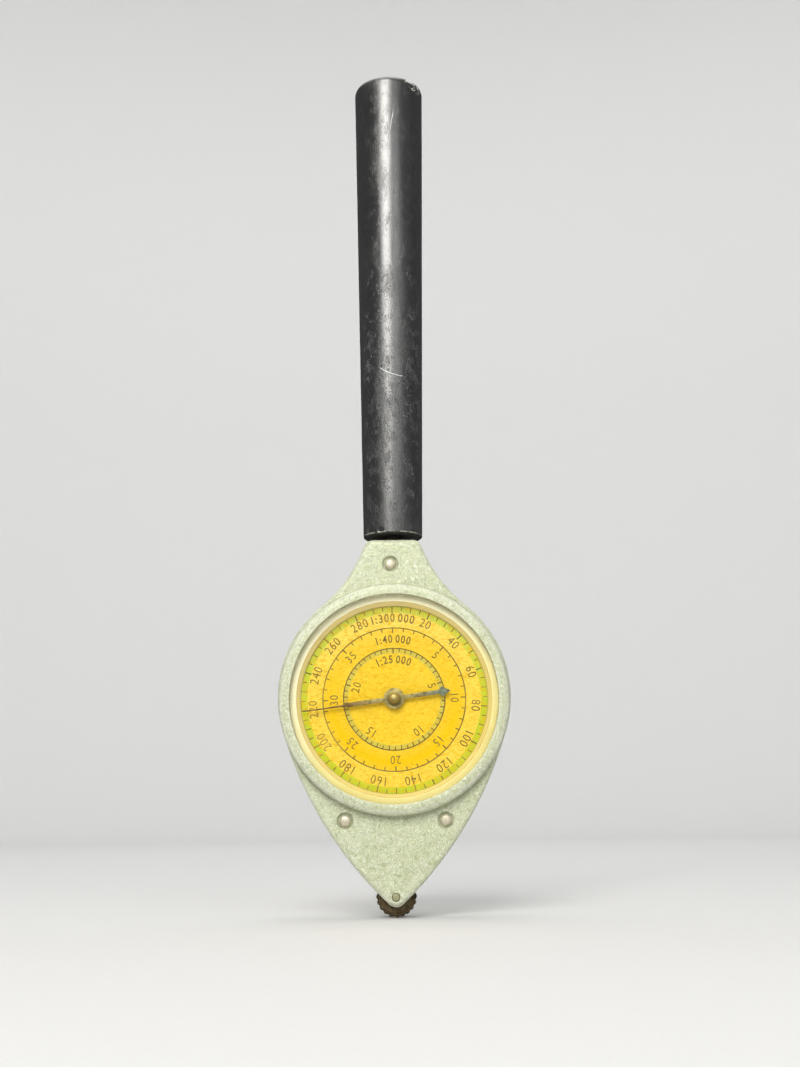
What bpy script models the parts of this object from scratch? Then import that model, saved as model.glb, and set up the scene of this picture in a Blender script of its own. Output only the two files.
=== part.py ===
"""Map measurer (opisometer) with a dial on each side of its case.

A toothed roller is pushed along a line on a map. A 50:1 wheel train turns both pointers once
for each metre that the roller covers, over ring scales that read the real distance.

The measurer stands on its roller: +Z goes up the handle, the front dial faces -Y, and the origin
is where the roller touches the map. Lengths are in metres.
"""

from math import acos, atan2, cos, pi, radians, sin, sqrt, tan

import bmesh
import bpy

MM = 0.001

# Fits between pieces
GAP = 0.05 * MM
RUNNING = 0.05 * MM
PRESS = 0.02 * MM

# How far a cutter reaches past the piece it cuts
BEYOND = 1.0 * MM

# Roller: twenty teeth, one millimetre apart on the map
ROLLER_TEETH = 20
TOOTH_PITCH = 1.0 * MM
ROLLER_RADIUS = ROLLER_TEETH * TOOTH_PITCH / (2 * pi)
ROLLER_VALLEY = 2.95 * MM
ROLLER_CROWN = ROLLER_RADIUS - 0.05 * MM
ROLLER_HALF = 1.0 * MM
ROLLER_CHAMFER = 0.3 * MM
ROLLER_SIDE_SCALE = 0.9
ROLLER_HUB = 0.75 * MM
AXLE_RADIUS = 0.42 * MM
AXLE_HEAD = 0.58 * MM
WASHER_RADIUS = 0.8 * MM

# Wheel train, from the roller up to the pointers
FINE_MODULE = 0.25 * MM
COARSE_MODULE = 0.305 * MM
PINION_TEETH = 10
FIRST_TEETH = 30
SECOND_TEETH = 50
CENTRE_PINION_TEETH = 27
CENTRE_TEETH = 90
PRESSURE_ANGLE = radians(25)
ADDENDUM = 0.9
DEDENDUM = 1.2
BACKLASH = 0.07 * MM
WHEEL_THICK = 0.5 * MM
ARBOR_RADIUS = 0.40 * MM
PIVOT_RADIUS = 0.25 * MM
CENTRE_ARBOR_RADIUS = 0.60 * MM
CENTRE_ARBOR_HALF = 4.75 * MM
COLLET_RADIUS = 1.3 * MM
COLLET_FLANGE = 2.0 * MM

# Where each wheel and pinion starts along its arbor. The front is towards -Y
FIRST_WHEEL_Y = 1.25 * MM
FIRST_PINION_Y = -0.45 * MM
SECOND_WHEEL_Y = 0.0
SECOND_PINION_Y = -1.75 * MM
CENTRE_WHEEL_Y = -1.4 * MM

# Heights along the case, from the centre of the dial
FIRST_TO_ROLLER = FINE_MODULE * (PINION_TEETH + FIRST_TEETH) / 2
SECOND_TO_FIRST = FINE_MODULE * (PINION_TEETH + SECOND_TEETH) / 2
SECOND_Z = -COARSE_MODULE * (CENTRE_PINION_TEETH + CENTRE_TEETH) / 2
FIRST_Z = SECOND_Z - SECOND_TO_FIRST
ROLLER_Z = FIRST_Z - FIRST_TO_ROLLER
DIAL_HEIGHT = ROLLER_RADIUS - ROLLER_Z

# Case outline: a circle a little above the dial, two long flat arcs down to the tip,
# and two hollow arcs up to the neck
CASE_RADIUS = 18.45 * MM
CASE_RISE = 0.55 * MM
LOWER_ARC = 59.0 * MM
LOWER_TANGENT = radians(-16.4)
NECK_ARC = 23.6 * MM
NECK_TANGENT = radians(50.6)
NECK_TOP = 25.7 * MM
TIP_ROUND = 1.6 * MM

# Case section
PLATE_HALF = 4.2 * MM
PLATE_ROUND = 0.8 * MM
DRUM_HALF = 6.5 * MM
DRUM_RADIUS = 18.15 * MM
DRUM_ROUND = 1.2 * MM
WALL = 0.8 * MM
LIP = 0.85 * MM
DRUM_BORE = 17.4 * MM
WINDOW_RADIUS = 16.4 * MM
SLOT_HALF = PLATE_HALF - WALL - 0.1 * MM
SLOT_RADIUS = ROLLER_RADIUS + 0.4 * MM

# Stack behind each window, as distances from the middle of the case
CRYSTAL_FRONT = 6.4 * MM
CRYSTAL_RADIUS = WINDOW_RADIUS - 2 * GAP
CRYSTAL_EDGE = 0.25 * MM
FLANGE_FRONT = DRUM_HALF - LIP - GAP
FLANGE_BACK = 5.15 * MM
PANE_BACK = 5.35 * MM
PANE_RADIUS = 16.4 * MM
STACK_RADIUS = DRUM_BORE - 0.15 * MM
DIAL_FRONT = 3.6 * MM
DIAL_BACK = 3.25 * MM
DIAL_OPENING = 14.75 * MM
RING_SHOULDER = 15.35 * MM
DIAL_HOLE = 1.0 * MM

# Movement
PLATE_OUTER = 3.2 * MM
PLATE_INNER = 2.2 * MM
PLATE_INSET = WALL + 0.25 * MM
PLATE_FOOT = -27.6 * MM
PILLAR_RADIUS = 1.0 * MM
PILLAR_CIRCLE = 15.6 * MM
SCREW_HEAD = 0.75 * MM
SCREW_SHANK = 0.35 * MM
SCREW_SINK = 0.45 * MM
SCREW_THREAD = 1.3 * MM

# Rivets, as (x, z) from the centre of the dial. The one in the neck is a little to the left
RIVET_PLACES = {
    "top": (-0.4 * MM, 21.65 * MM),
    "left": (-7.8 * MM, -18.8 * MM),
    "right": (7.8 * MM, -18.8 * MM),
}
RIVET_SHANK = 0.6 * MM
RIVET_HEAD = 0.87 * MM
RIVET_CROWN = 0.06 * MM
RIVET_SINK_RADIUS = 1.27 * MM
RIVET_SINK = 0.42 * MM
SPACER_RADIUS = 1.2 * MM

# Handle
HANDLE_BOTTOM = 26.7 * MM
HANDLE_TOP = 108.0 * MM
HANDLE_LOW_RADIUS = 4.85 * MM
HANDLE_HIGH_RADIUS = 5.92 * MM
HANDLE_FOOT_EDGE = 0.35 * MM
HANDLE_SHOULDER = 1.2 * MM
HANDLE_BORE_TOP = 72.0 * MM
TANG_RADIUS = 1.7 * MM
TANG_TOP = HANDLE_BORE_TOP - 2.0 * MM
TANG_BLOCK = (2.4 * MM, 3.3 * MM)
TANG_BOTTOM = 18.9 * MM
TANG_OVERLAP = 0.8 * MM

# Pointers: they lie over 219 on the outermost scale
POINTER_REST = radians(262.4)
POINTER_REACH = 14.6 * MM
POINTER_TAIL = 8.9 * MM
POINTER_BOSS = 1.65 * MM
POINTER_FRONT = 4.55 * MM
POINTER_BACK = 4.35 * MM
BUSH_NECK = 0.85 * MM
BUSH_SLEEVE = 1.05 * MM
BUSH_DOME = 1.2 * MM
BUSH_RISE = 0.65 * MM
BUSH_BORE_END = 4.8 * MM

DRUM_STEPS = 48
SLOT_STEPS = 24
HANDLE_STEPS = 40
HOLE_STEPS = 16
SMALL_STEPS = 12


def material(name, colour, metallic, roughness):
    made = bpy.data.materials.new(name)
    made.use_nodes = True
    shader = made.node_tree.nodes["Principled BSDF"]
    shader.inputs["Base Color"].default_value = (*colour, 1.0)
    shader.inputs["Metallic"].default_value = metallic
    shader.inputs["Roughness"].default_value = roughness
    made.diffuse_color = (*colour, 1.0)
    return made


def empty(name, location, parent=None):
    made = bpy.data.objects.new(name, None)
    made.location = location
    made.parent = parent
    made.empty_display_size = 5 * MM
    bpy.context.collection.objects.link(made)
    return made


def add(name, mesh, finish, parent, turn_z=0.0):
    """A named object that shares the mesh, turned about the upright axis of its parent."""
    made = bpy.data.objects.new(name, mesh)
    made.parent = parent
    made.rotation_euler = (0.0, 0.0, turn_z)
    bpy.context.collection.objects.link(made)
    if not mesh.materials:
        mesh.materials.append(finish)
    return made


def mesh_from(name, shape):
    bmesh.ops.remove_doubles(shape, verts=shape.verts, dist=1e-4 * MM)
    bmesh.ops.recalc_face_normals(shape, faces=shape.faces)
    mesh = bpy.data.meshes.new(name)
    shape.to_mesh(mesh)
    shape.free()
    mesh.shade_smooth()
    mesh.set_sharp_from_angle(angle=radians(35))
    return mesh


def turned(name, profile, steps=SMALL_STEPS, ring=False, upright=False):
    """A mesh turned from (radius, distance along the axis) points. The axis is Y, or Z when upright."""
    shape = bmesh.new()
    place = (lambda r, a: (r, 0.0, a)) if upright else (lambda r, a: (r, a, 0.0))
    verts = [shape.verts.new(place(r, a)) for r, a in profile]
    edges = [shape.edges.new(pair) for pair in zip(verts, verts[1:])]
    if ring:
        edges.append(shape.edges.new((verts[-1], verts[0])))
    axis = (0.0, 0.0, 1.0) if upright else (0.0, 1.0, 0.0)
    bmesh.ops.spin(shape, geom=verts + edges, cent=(0, 0, 0), axis=axis, angle=2 * pi, steps=steps)
    return mesh_from(name, shape)


def loop_edges(shape, points, y):
    verts = [shape.verts.new((x, y, z)) for x, z in points]
    return [shape.edges.new((a, b)) for a, b in zip(verts, verts[1:] + verts[:1])]


def prism(name, loops, y_front, y_back, round_front=0.0):
    """A flat piece with the first loop as its edge and the other loops as its holes."""
    shape = bmesh.new()
    edges = [edge for points in loops for edge in loop_edges(shape, points, y_front)]
    bmesh.ops.triangle_fill(shape, use_beauty=True, use_dissolve=False, edges=edges)
    grown = bmesh.ops.extrude_face_region(shape, geom=shape.faces[:], use_keep_orig=True)
    moved = [item for item in grown["geom"] if isinstance(item, bmesh.types.BMVert)]
    bmesh.ops.translate(shape, verts=moved, vec=(0.0, y_back - y_front, 0.0))
    if round_front:
        bmesh.ops.recalc_face_normals(shape, faces=shape.faces)
        rim = [
            edge
            for edge in shape.edges
            if all(abs(vert.co.y - y_front) < 1e-6 for vert in edge.verts)
            and edge.calc_face_angle(0.0) > radians(60)
        ]
        bmesh.ops.bevel(
            shape, geom=rim, offset=round_front, segments=3, profile=0.5, affect="EDGES", clamp_overlap=True
        )
    return mesh_from(name, shape)


def circle(radius, centre=(0.0, 0.0), steps=SMALL_STEPS):
    return [
        (centre[0] + radius * cos(2 * pi * i / steps), centre[1] + radius * sin(2 * pi * i / steps))
        for i in range(steps)
    ]


def arc(centre, radius, start, end, steps):
    """Points along an arc from one angle to another, both ends included."""
    return [
        (
            centre[0] + radius * cos(start + (end - start) * i / steps),
            centre[1] + radius * sin(start + (end - start) * i / steps),
        )
        for i in range(steps + 1)
    ]


def from_case_centre(reach, angle):
    return (reach * cos(angle), CASE_RISE + reach * sin(angle))


def case_outline(inset=0.0, top=NECK_TOP):
    """The case's outline moved inwards by inset. The neck ends at top, and the tip stays round."""
    lower_centre = from_case_centre(CASE_RADIUS - LOWER_ARC, LOWER_TANGENT)
    neck_centre = from_case_centre(CASE_RADIUS + NECK_ARC, NECK_TANGENT)
    tip_drop = sqrt((LOWER_ARC - TIP_ROUND) ** 2 - lower_centre[0] ** 2)
    tip_centre = (0.0, lower_centre[1] - tip_drop)
    tip_angle = atan2(tip_centre[1] - lower_centre[1], -lower_centre[0])
    neck_start = NECK_TANGENT + pi
    neck_end = pi + acos(sqrt(1 - ((neck_centre[1] - top) / (NECK_ARC + inset)) ** 2))
    right = arc(tip_centre, TIP_ROUND - inset, -pi / 2, tip_angle, 3) if inset < TIP_ROUND else []
    right += arc(lower_centre, LOWER_ARC - inset, tip_angle, LOWER_TANGENT, 9)[1:]
    right += arc((0.0, CASE_RISE), CASE_RADIUS - inset, LOWER_TANGENT, NECK_TANGENT, 10)[1:]
    right += arc(neck_centre, NECK_ARC + inset, neck_start, neck_end, 7)[1:]
    left = [(-x, z) for x, z in reversed(right) if x > 1e-4 * MM]
    return right + left


def plate_outline():
    """The movement plate: the case's outline, closed by a full circle above and cut off above the axle."""
    lower_centre = from_case_centre(CASE_RADIUS - LOWER_ARC, LOWER_TANGENT)
    foot_angle = atan2(
        PLATE_FOOT - lower_centre[1],
        sqrt((LOWER_ARC - PLATE_INSET) ** 2 - (PLATE_FOOT - lower_centre[1]) ** 2),
    )
    right = arc(lower_centre, LOWER_ARC - PLATE_INSET, foot_angle, LOWER_TANGENT, 4)
    right += arc((0.0, CASE_RISE), CASE_RADIUS - PLATE_INSET, LOWER_TANGENT, pi / 2, 12)[1:]
    left = [(-x, z) for x, z in reversed(right[:-1])]
    return right + left


def gear_outline(teeth, module, points_up, fine=False):
    """A gear's outline. One tooth, or one space, points at the angle points_up."""
    pitch = module * teeth / 2
    base = pitch * cos(PRESSURE_ANGLE)
    root = pitch - DEDENDUM * module
    tip = pitch + ADDENDUM * module
    half_at_pitch = (pi * module / 2 - BACKLASH) / (2 * pitch)
    involute = tan(PRESSURE_ANGLE) - PRESSURE_ANGLE

    def half_angle(radius):
        angle = acos(min(1.0, base / max(radius, base)))
        return half_at_pitch + involute - (tan(angle) - angle)

    radii = [root, max(base, root), pitch, tip] if fine else [root, tip]
    flank = [(radius, half_angle(radius)) for radius in radii]
    outline = []
    for tooth in range(teeth):
        middle = points_up + 2 * pi * tooth / teeth
        for radius, half in flank:
            outline.append((radius * cos(middle - half), radius * sin(middle - half)))
        for radius, half in reversed(flank):
            outline.append((radius * cos(middle + half), radius * sin(middle + half)))
    return outline


def spoke_openings(inner, outer, spokes, half_width, steps=5):
    """The openings between straight spokes of a wheel."""
    openings = []
    for spoke in range(spokes):
        middle = 2 * pi * (spoke + 0.5) / spokes
        half_out = pi / spokes - half_width / outer
        half_in = pi / spokes - half_width / inner
        outward = arc((0.0, 0.0), outer, middle - half_out, middle + half_out, steps)
        inward = arc((0.0, 0.0), inner, middle + half_in, middle - half_in, 2)
        openings.append(outward + inward)
    return openings


def pointer_outline():
    """A broad blade that narrows to a needle, a round boss, and a tail that ends in an arrowhead."""
    root, tail, needle = 0.36 * MM, 0.34 * MM, 0.16 * MM
    right = [(0.05 * MM, POINTER_REACH), (needle, 8.3 * MM), (root, 7.5 * MM)]
    right += [(root, sqrt(POINTER_BOSS**2 - root**2))]
    right += arc((0.0, 0.0), POINTER_BOSS, acos(root / POINTER_BOSS), -acos(tail / POINTER_BOSS), 8)[1:]
    right += [(tail, -7.2 * MM), (0.76 * MM, -7.55 * MM), (0.06 * MM, -POINTER_TAIL)]
    return right + [(-x, z) for x, z in reversed(right)]


def roller_outline(scale):
    """Rounded teeth, with one of them pointing straight down."""
    points = []
    pitch = 2 * pi / ROLLER_TEETH
    tooth_points = ((-0.16, ROLLER_CROWN), (0.0, ROLLER_RADIUS), (0.16, ROLLER_CROWN), (0.5, ROLLER_VALLEY))
    for tooth in range(ROLLER_TEETH):
        middle = -pi / 2 + tooth * pitch
        for share, radius in tooth_points:
            angle = middle + share * pitch
            points.append((scale * radius * cos(angle), scale * radius * sin(angle)))
    return points


def roller_mesh(bore):
    """The roller, with its toothed rim chamfered on both sides."""
    shape = bmesh.new()
    inner_half = ROLLER_HALF - ROLLER_CHAMFER
    rings = [
        (-ROLLER_HALF, ROLLER_SIDE_SCALE),
        (-inner_half, 1.0),
        (inner_half, 1.0),
        (ROLLER_HALF, ROLLER_SIDE_SCALE),
    ]
    loops = [loop_edges(shape, roller_outline(scale), y) for y, scale in rings]
    for lower, upper in zip(loops, loops[1:]):
        bmesh.ops.bridge_loops(shape, edges=lower + upper)
    holes = [loop_edges(shape, circle(bore), y) for y in (-ROLLER_HALF, ROLLER_HALF)]
    bmesh.ops.bridge_loops(shape, edges=holes[0] + holes[1])
    for rim, hole in ((loops[0], holes[0]), (loops[-1], holes[1])):
        bmesh.ops.triangle_fill(shape, use_beauty=True, use_dissolve=False, edges=rim + hole)
    return mesh_from("measuring_roller", shape)


def cutter(name, mesh, parent, location=(0.0, 0.0, 0.0)):
    made = bpy.data.objects.new(name, mesh)
    made.parent = parent
    made.location = location
    made.hide_render = True
    made.display_type = "WIRE"
    bpy.context.collection.objects.link(made)
    return made


def combined(body, tools):
    """Applies each (operation, tool) to the body, in order, and removes the tools."""
    for operation, tool in tools:
        step = body.modifiers.new(tool.name, "BOOLEAN")
        step.operation = operation
        step.object = tool
    bpy.context.view_layer.update()
    graph = bpy.context.evaluated_depsgraph_get()
    mesh = bpy.data.meshes.new_from_object(body.evaluated_get(graph))
    mesh.name = body.name
    body.modifiers.clear()
    body.data = mesh
    mesh.shade_smooth()
    mesh.set_sharp_from_angle(angle=radians(35))
    for tool in {tool for _, tool in tools}:
        bpy.data.objects.remove(tool)
    return mesh


def turned_cutter(name, profile, parent, x=0.0, z=0.0, steps=SMALL_STEPS, upright=False):
    return cutter(name, turned(name, profile, steps, upright=upright), parent, (x, 0.0, z))


def rounded_edge(radius, half, size, steps=4):
    """Points round a turned piece's outer front edge, for a piece whose front faces -Y."""
    return [
        (radius - size + size * sin(pi / 2 * i / steps), -half + size - size * cos(pi / 2 * i / steps))
        for i in range(steps + 1)
    ]


def case_mesh(finish, centre, side):
    """One half of the case, facing -Y. The rivet holes are mirrored in the half turned to the rear."""
    across = 1 if side == "front" else -1
    blank = prism("case_blank", [case_outline()], -PLATE_HALF, -GAP / 2, PLATE_ROUND)
    body = add("case_blank", blank, finish, centre)
    cavity = prism("cavity", [case_outline(WALL, NECK_TOP - WALL)], -PLATE_HALF + WALL, BEYOND)
    drum = [(0.0, -DRUM_HALF)] + rounded_edge(DRUM_RADIUS, DRUM_HALF, DRUM_ROUND)
    drum += [(DRUM_RADIUS, -PLATE_HALF / 2), (0.0, -PLATE_HALF / 2)]
    lip_back = -DRUM_HALF + LIP
    bore = [(0.0, lip_back), (DRUM_BORE, lip_back), (DRUM_BORE, BEYOND), (0.0, BEYOND)]
    window = [(0.0, -DRUM_HALF - BEYOND), (WINDOW_RADIUS, -DRUM_HALF - BEYOND)]
    window += [(WINDOW_RADIUS, lip_back + BEYOND), (0.0, lip_back + BEYOND)]
    slot = [(0.0, -SLOT_HALF), (SLOT_RADIUS, -SLOT_HALF), (SLOT_RADIUS, BEYOND), (0.0, BEYOND)]
    tang = [(0.0, NECK_TOP + BEYOND), (TANG_RADIUS + GAP, NECK_TOP + BEYOND)]
    tang += [(TANG_RADIUS + GAP, NECK_TOP - 2 * WALL), (0.0, NECK_TOP - 2 * WALL)]
    tools = [
        ("UNION", turned_cutter("drum", drum, centre, steps=DRUM_STEPS)),
        ("DIFFERENCE", cutter("cavity", cavity, centre)),
        ("DIFFERENCE", turned_cutter("bore", bore, centre, steps=DRUM_STEPS)),
        ("DIFFERENCE", turned_cutter("window", window, centre, steps=DRUM_STEPS)),
        ("DIFFERENCE", turned_cutter("slot", slot, centre, z=ROLLER_Z, steps=SLOT_STEPS)),
        ("DIFFERENCE", turned_cutter("tang_hole", tang, centre, upright=True)),
    ]
    holes = [(across * x, z, RIVET_SHANK, RIVET_SINK_RADIUS) for x, z in RIVET_PLACES.values()]
    holes.append((0.0, ROLLER_Z, AXLE_RADIUS, AXLE_HEAD + GAP))
    depth = -PLATE_HALF + RIVET_SINK
    for index, (x, z, shank, sink) in enumerate(holes):
        hole = [(0.0, -PLATE_HALF - BEYOND), (sink, -PLATE_HALF - BEYOND), (sink, depth)]
        hole += [(shank + GAP, depth), (shank + GAP, BEYOND), (0.0, BEYOND)]
        tools.append(("DIFFERENCE", turned_cutter(f"hole_{index}", hole, centre, x, z)))
    mesh = combined(body, tools)
    bpy.data.objects.remove(body)
    return mesh


def mirrored_profile(half_profile):
    """A turned profile from its +Y half, from the middle outwards."""
    return [(r, -y) for r, y in reversed(half_profile)] + half_profile


def build_case(finishes, centre):
    crystal = turned(
        "crystal",
        [
            (0.0, -CRYSTAL_FRONT),
            (CRYSTAL_RADIUS - CRYSTAL_EDGE, -CRYSTAL_FRONT),
            (CRYSTAL_RADIUS, -CRYSTAL_FRONT + CRYSTAL_EDGE),
            (CRYSTAL_RADIUS, -FLANGE_FRONT),
            (STACK_RADIUS, -FLANGE_FRONT),
            (STACK_RADIUS, -FLANGE_BACK),
            (PANE_RADIUS, -FLANGE_BACK),
            (PANE_RADIUS, -PANE_BACK),
            (0.0, -PANE_BACK),
        ],
        DRUM_STEPS,
    )
    dial_ring = turned(
        "dial_ring",
        [
            (DIAL_OPENING, -DIAL_FRONT - GAP),
            (RING_SHOULDER, -FLANGE_BACK + GAP),
            (STACK_RADIUS, -FLANGE_BACK + GAP),
            (STACK_RADIUS, -DIAL_FRONT - GAP),
        ],
        DRUM_STEPS,
        ring=True,
    )
    dial = turned(
        "dial",
        [
            (DIAL_HOLE, -DIAL_FRONT),
            (STACK_RADIUS, -DIAL_FRONT),
            (STACK_RADIUS, -DIAL_BACK),
            (DIAL_HOLE, -DIAL_BACK),
        ],
        DRUM_STEPS,
        ring=True,
    )
    for side, turn in (("front", 0.0), ("rear", pi)):
        add(f"{side}_case", case_mesh(finishes["paint"], centre, side), finishes["paint"], centre, turn)
        add(f"{side}_crystal", crystal, finishes["crystal"], centre, turn)
        add(f"{side}_dial_ring", dial_ring, finishes["cream"], centre, turn)
        add(f"{side}_dial", dial, finishes["dial"], centre, turn)


def build_rivets(finishes, centre):
    seat = PLATE_HALF - RIVET_SINK + GAP
    crown = PLATE_HALF + RIVET_CROWN
    head = [(RIVET_SHANK, seat), (RIVET_HEAD, seat), (RIVET_HEAD, seat + 0.15 * MM)]
    head += [(0.75 * RIVET_HEAD, crown - 0.08 * MM), (0.4 * RIVET_HEAD, crown - 0.01 * MM), (0.0, crown)]
    rivet = turned("case_rivet", mirrored_profile(head))
    reach = PLATE_INNER - GAP
    bore = RIVET_SHANK + GAP
    tube = [(bore, -reach), (SPACER_RADIUS, -reach), (SPACER_RADIUS, reach), (bore, reach)]
    spacer = turned("rivet_spacer", tube, ring=True)
    for name, (x, z) in RIVET_PLACES.items():
        add(f"case_rivet_{name}", rivet, finishes["nickel"], centre).location = (x, 0.0, z)
        if name != "top":
            add(f"rivet_spacer_{name}", spacer, finishes["brass"], centre).location = (x, 0.0, z)


def build_movement(finishes, centre):
    pillars = [
        (PILLAR_CIRCLE * cos(angle), PILLAR_CIRCLE * sin(angle))
        for angle in (radians(90), radians(205), radians(335))
    ]
    pivots = [(0.0, CENTRE_ARBOR_RADIUS), (SECOND_Z, PIVOT_RADIUS), (FIRST_Z, PIVOT_RADIUS)]
    holes = [circle(radius + RUNNING, (0.0, z), HOLE_STEPS) for z, radius in pivots]
    holes += [circle(RIVET_SHANK + GAP, RIVET_PLACES[name], HOLE_STEPS) for name in ("left", "right")]
    holes += [circle(SCREW_SHANK + GAP, place, HOLE_STEPS) for place in pillars]
    plate = prism("movement_plate", [plate_outline()] + holes, -PLATE_OUTER, -PLATE_INNER)
    blank = add("plate_blank", plate, finishes["brass"], centre)
    sink = [(0.0, -PLATE_OUTER - BEYOND), (SCREW_HEAD + GAP, -PLATE_OUTER - BEYOND)]
    sink += [(SCREW_HEAD + GAP, -PLATE_OUTER + SCREW_SINK), (0.0, -PLATE_OUTER + SCREW_SINK)]
    sinks = [
        ("DIFFERENCE", turned_cutter(f"sink_{index}", sink, centre, x, z))
        for index, (x, z) in enumerate(pillars)
    ]
    plate = combined(blank, sinks)
    bpy.data.objects.remove(blank)
    add("front_movement_plate", plate, finishes["brass"], centre)
    add("rear_movement_plate", plate, finishes["brass"], centre, pi)

    reach = PLATE_INNER - GAP
    thread = PLATE_INNER - SCREW_THREAD
    bore = SCREW_SHANK + PRESS
    post = [(PILLAR_RADIUS, reach), (bore, reach), (bore, thread), (0.0, thread)]
    pillar = turned("movement_pillar", mirrored_profile(post))
    head = PLATE_OUTER - SCREW_SINK + GAP
    top = PLATE_OUTER - PRESS
    screw = turned(
        "pillar_screw",
        [
            (0.0, -top),
            (SCREW_HEAD, -top),
            (SCREW_HEAD, -head),
            (SCREW_SHANK, -head),
            (SCREW_SHANK, -thread - GAP),
            (0.0, -thread - GAP),
        ],
    )
    for index, (x, z) in enumerate(pillars, start=1):
        add(f"movement_pillar_{index}", pillar, finishes["brass"], centre).location = (x, 0.0, z)
        add(f"front_pillar_screw_{index}", screw, finishes["steel"], centre).location = (x, 0.0, z)
    for index, (x, z) in enumerate([(-x, z) for x, z in pillars], start=1):
        add(f"rear_pillar_screw_{index}", screw, finishes["steel"], centre, pi).location = (x, 0.0, z)


def build_axle(finishes, roller_axis):
    seat = PLATE_HALF - RIVET_SINK + GAP
    head = [(AXLE_RADIUS, seat), (AXLE_HEAD, seat), (AXLE_HEAD, PLATE_HALF - 0.05 * MM), (0.0, PLATE_HALF)]
    add("roller_axle", turned("roller_axle", mirrored_profile(head)), finishes["brass"], roller_axis)
    inner_face = SLOT_HALF - GAP
    bore = AXLE_RADIUS + RUNNING
    for name, near, far in (
        ("front_axle_washer", -inner_face, -ROLLER_HALF - RUNNING),
        ("rear_axle_washer", PLATE_INNER, inner_face),
    ):
        tube = [(bore, near), (WASHER_RADIUS, near), (WASHER_RADIUS, far), (bore, far)]
        add(name, turned(name, tube, ring=True), finishes["brass"], roller_axis)


def build_roller(finishes, roller_axis):
    add("measuring_roller", roller_mesh(ROLLER_HUB + PRESS), finishes["roller"], roller_axis)
    bore = AXLE_RADIUS + RUNNING
    shoulder = ROLLER_HALF + GAP
    end = PLATE_INNER - RUNNING
    teeth = gear_outline(PINION_TEETH, FINE_MODULE, pi / 2, fine=True)
    pinion = add(
        "roller_pinion",
        prism("roller_pinion", [teeth, circle(bore)], shoulder, end),
        finishes["steel"],
        roller_axis,
    )
    overlap = shoulder + 0.2 * MM
    sleeve = [(bore, -ROLLER_HALF), (ROLLER_HUB, -ROLLER_HALF), (ROLLER_HUB, overlap), (bore, overlap)]
    combined(pinion, [("UNION", cutter("sleeve", turned("sleeve", sleeve, ring=True), roller_axis))])


def arbor_profile():
    shoulder = PLATE_INNER - RUNNING
    end = PLATE_OUTER - 0.1 * MM
    return [(ARBOR_RADIUS, shoulder), (PIVOT_RADIUS, shoulder), (PIVOT_RADIUS, end), (0.0, end)]


def gear(name, teeth, module, points_up, y_front, y_back, bore, finish, parent, openings=()):
    outline = gear_outline(teeth, module, points_up, fine=teeth < CENTRE_PINION_TEETH)
    mesh = prism(name, [outline, circle(bore), *openings], y_front, y_back)
    return add(name, mesh, finish, parent)


def build_train(finishes, first_axis, second_axis, centre):
    """Three arbors. Where two gears meet, the lower one has a tooth and the upper one a space."""
    up, down = pi / 2, -pi / 2
    bore = ARBOR_RADIUS + PRESS
    arbor = turned("arbor", mirrored_profile(arbor_profile()), HOLE_STEPS)
    steel, brass = finishes["steel"], finishes["brass"]

    add("first_arbor", arbor, steel, first_axis)
    turn = down + pi / FIRST_TEETH
    near, far = FIRST_WHEEL_Y, FIRST_WHEEL_Y + WHEEL_THICK
    gear("first_wheel", FIRST_TEETH, FINE_MODULE, turn, near, far, bore, brass, first_axis)
    near, far = FIRST_PINION_Y, FIRST_WHEEL_Y - GAP
    gear("first_pinion", PINION_TEETH, FINE_MODULE, up, near, far, bore, steel, first_axis)

    add("second_arbor", arbor, steel, second_axis)
    openings = spoke_openings(1.7 * MM, 5.0 * MM, 4, 0.45 * MM, 4)
    turn = down + pi / SECOND_TEETH
    near, far = SECOND_WHEEL_Y, SECOND_WHEEL_Y + WHEEL_THICK
    gear("second_wheel", SECOND_TEETH, FINE_MODULE, turn, near, far, bore, brass, second_axis, openings)
    near, far = SECOND_PINION_Y, SECOND_WHEEL_Y - GAP
    gear("second_pinion", CENTRE_PINION_TEETH, COARSE_MODULE, up, near, far, bore, steel, second_axis)

    end = CENTRE_ARBOR_HALF
    rod = [(0.0, -end), (CENTRE_ARBOR_RADIUS, -end), (CENTRE_ARBOR_RADIUS, end), (0.0, end)]
    add("centre_arbor", turned("centre_arbor", rod), steel, centre)
    openings = spoke_openings(3.0 * MM, 11.6 * MM, 4, 0.7 * MM)
    turn = down + pi / CENTRE_TEETH
    near, far = CENTRE_WHEEL_Y, CENTRE_WHEEL_Y + WHEEL_THICK
    wheel_bore = COLLET_RADIUS + PRESS
    gear("centre_wheel", CENTRE_TEETH, COARSE_MODULE, turn, near, far, wheel_bore, brass, centre, openings)
    bore = CENTRE_ARBOR_RADIUS + PRESS
    front, back = near - 0.4 * MM, far + 0.6 * MM
    collet = [(bore, front), (COLLET_RADIUS, front), (COLLET_RADIUS, far + GAP)]
    collet += [(COLLET_FLANGE, far + GAP), (COLLET_FLANGE, back), (bore, back)]
    add("centre_wheel_collet", turned("centre_wheel_collet", collet, ring=True), brass, centre)


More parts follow.
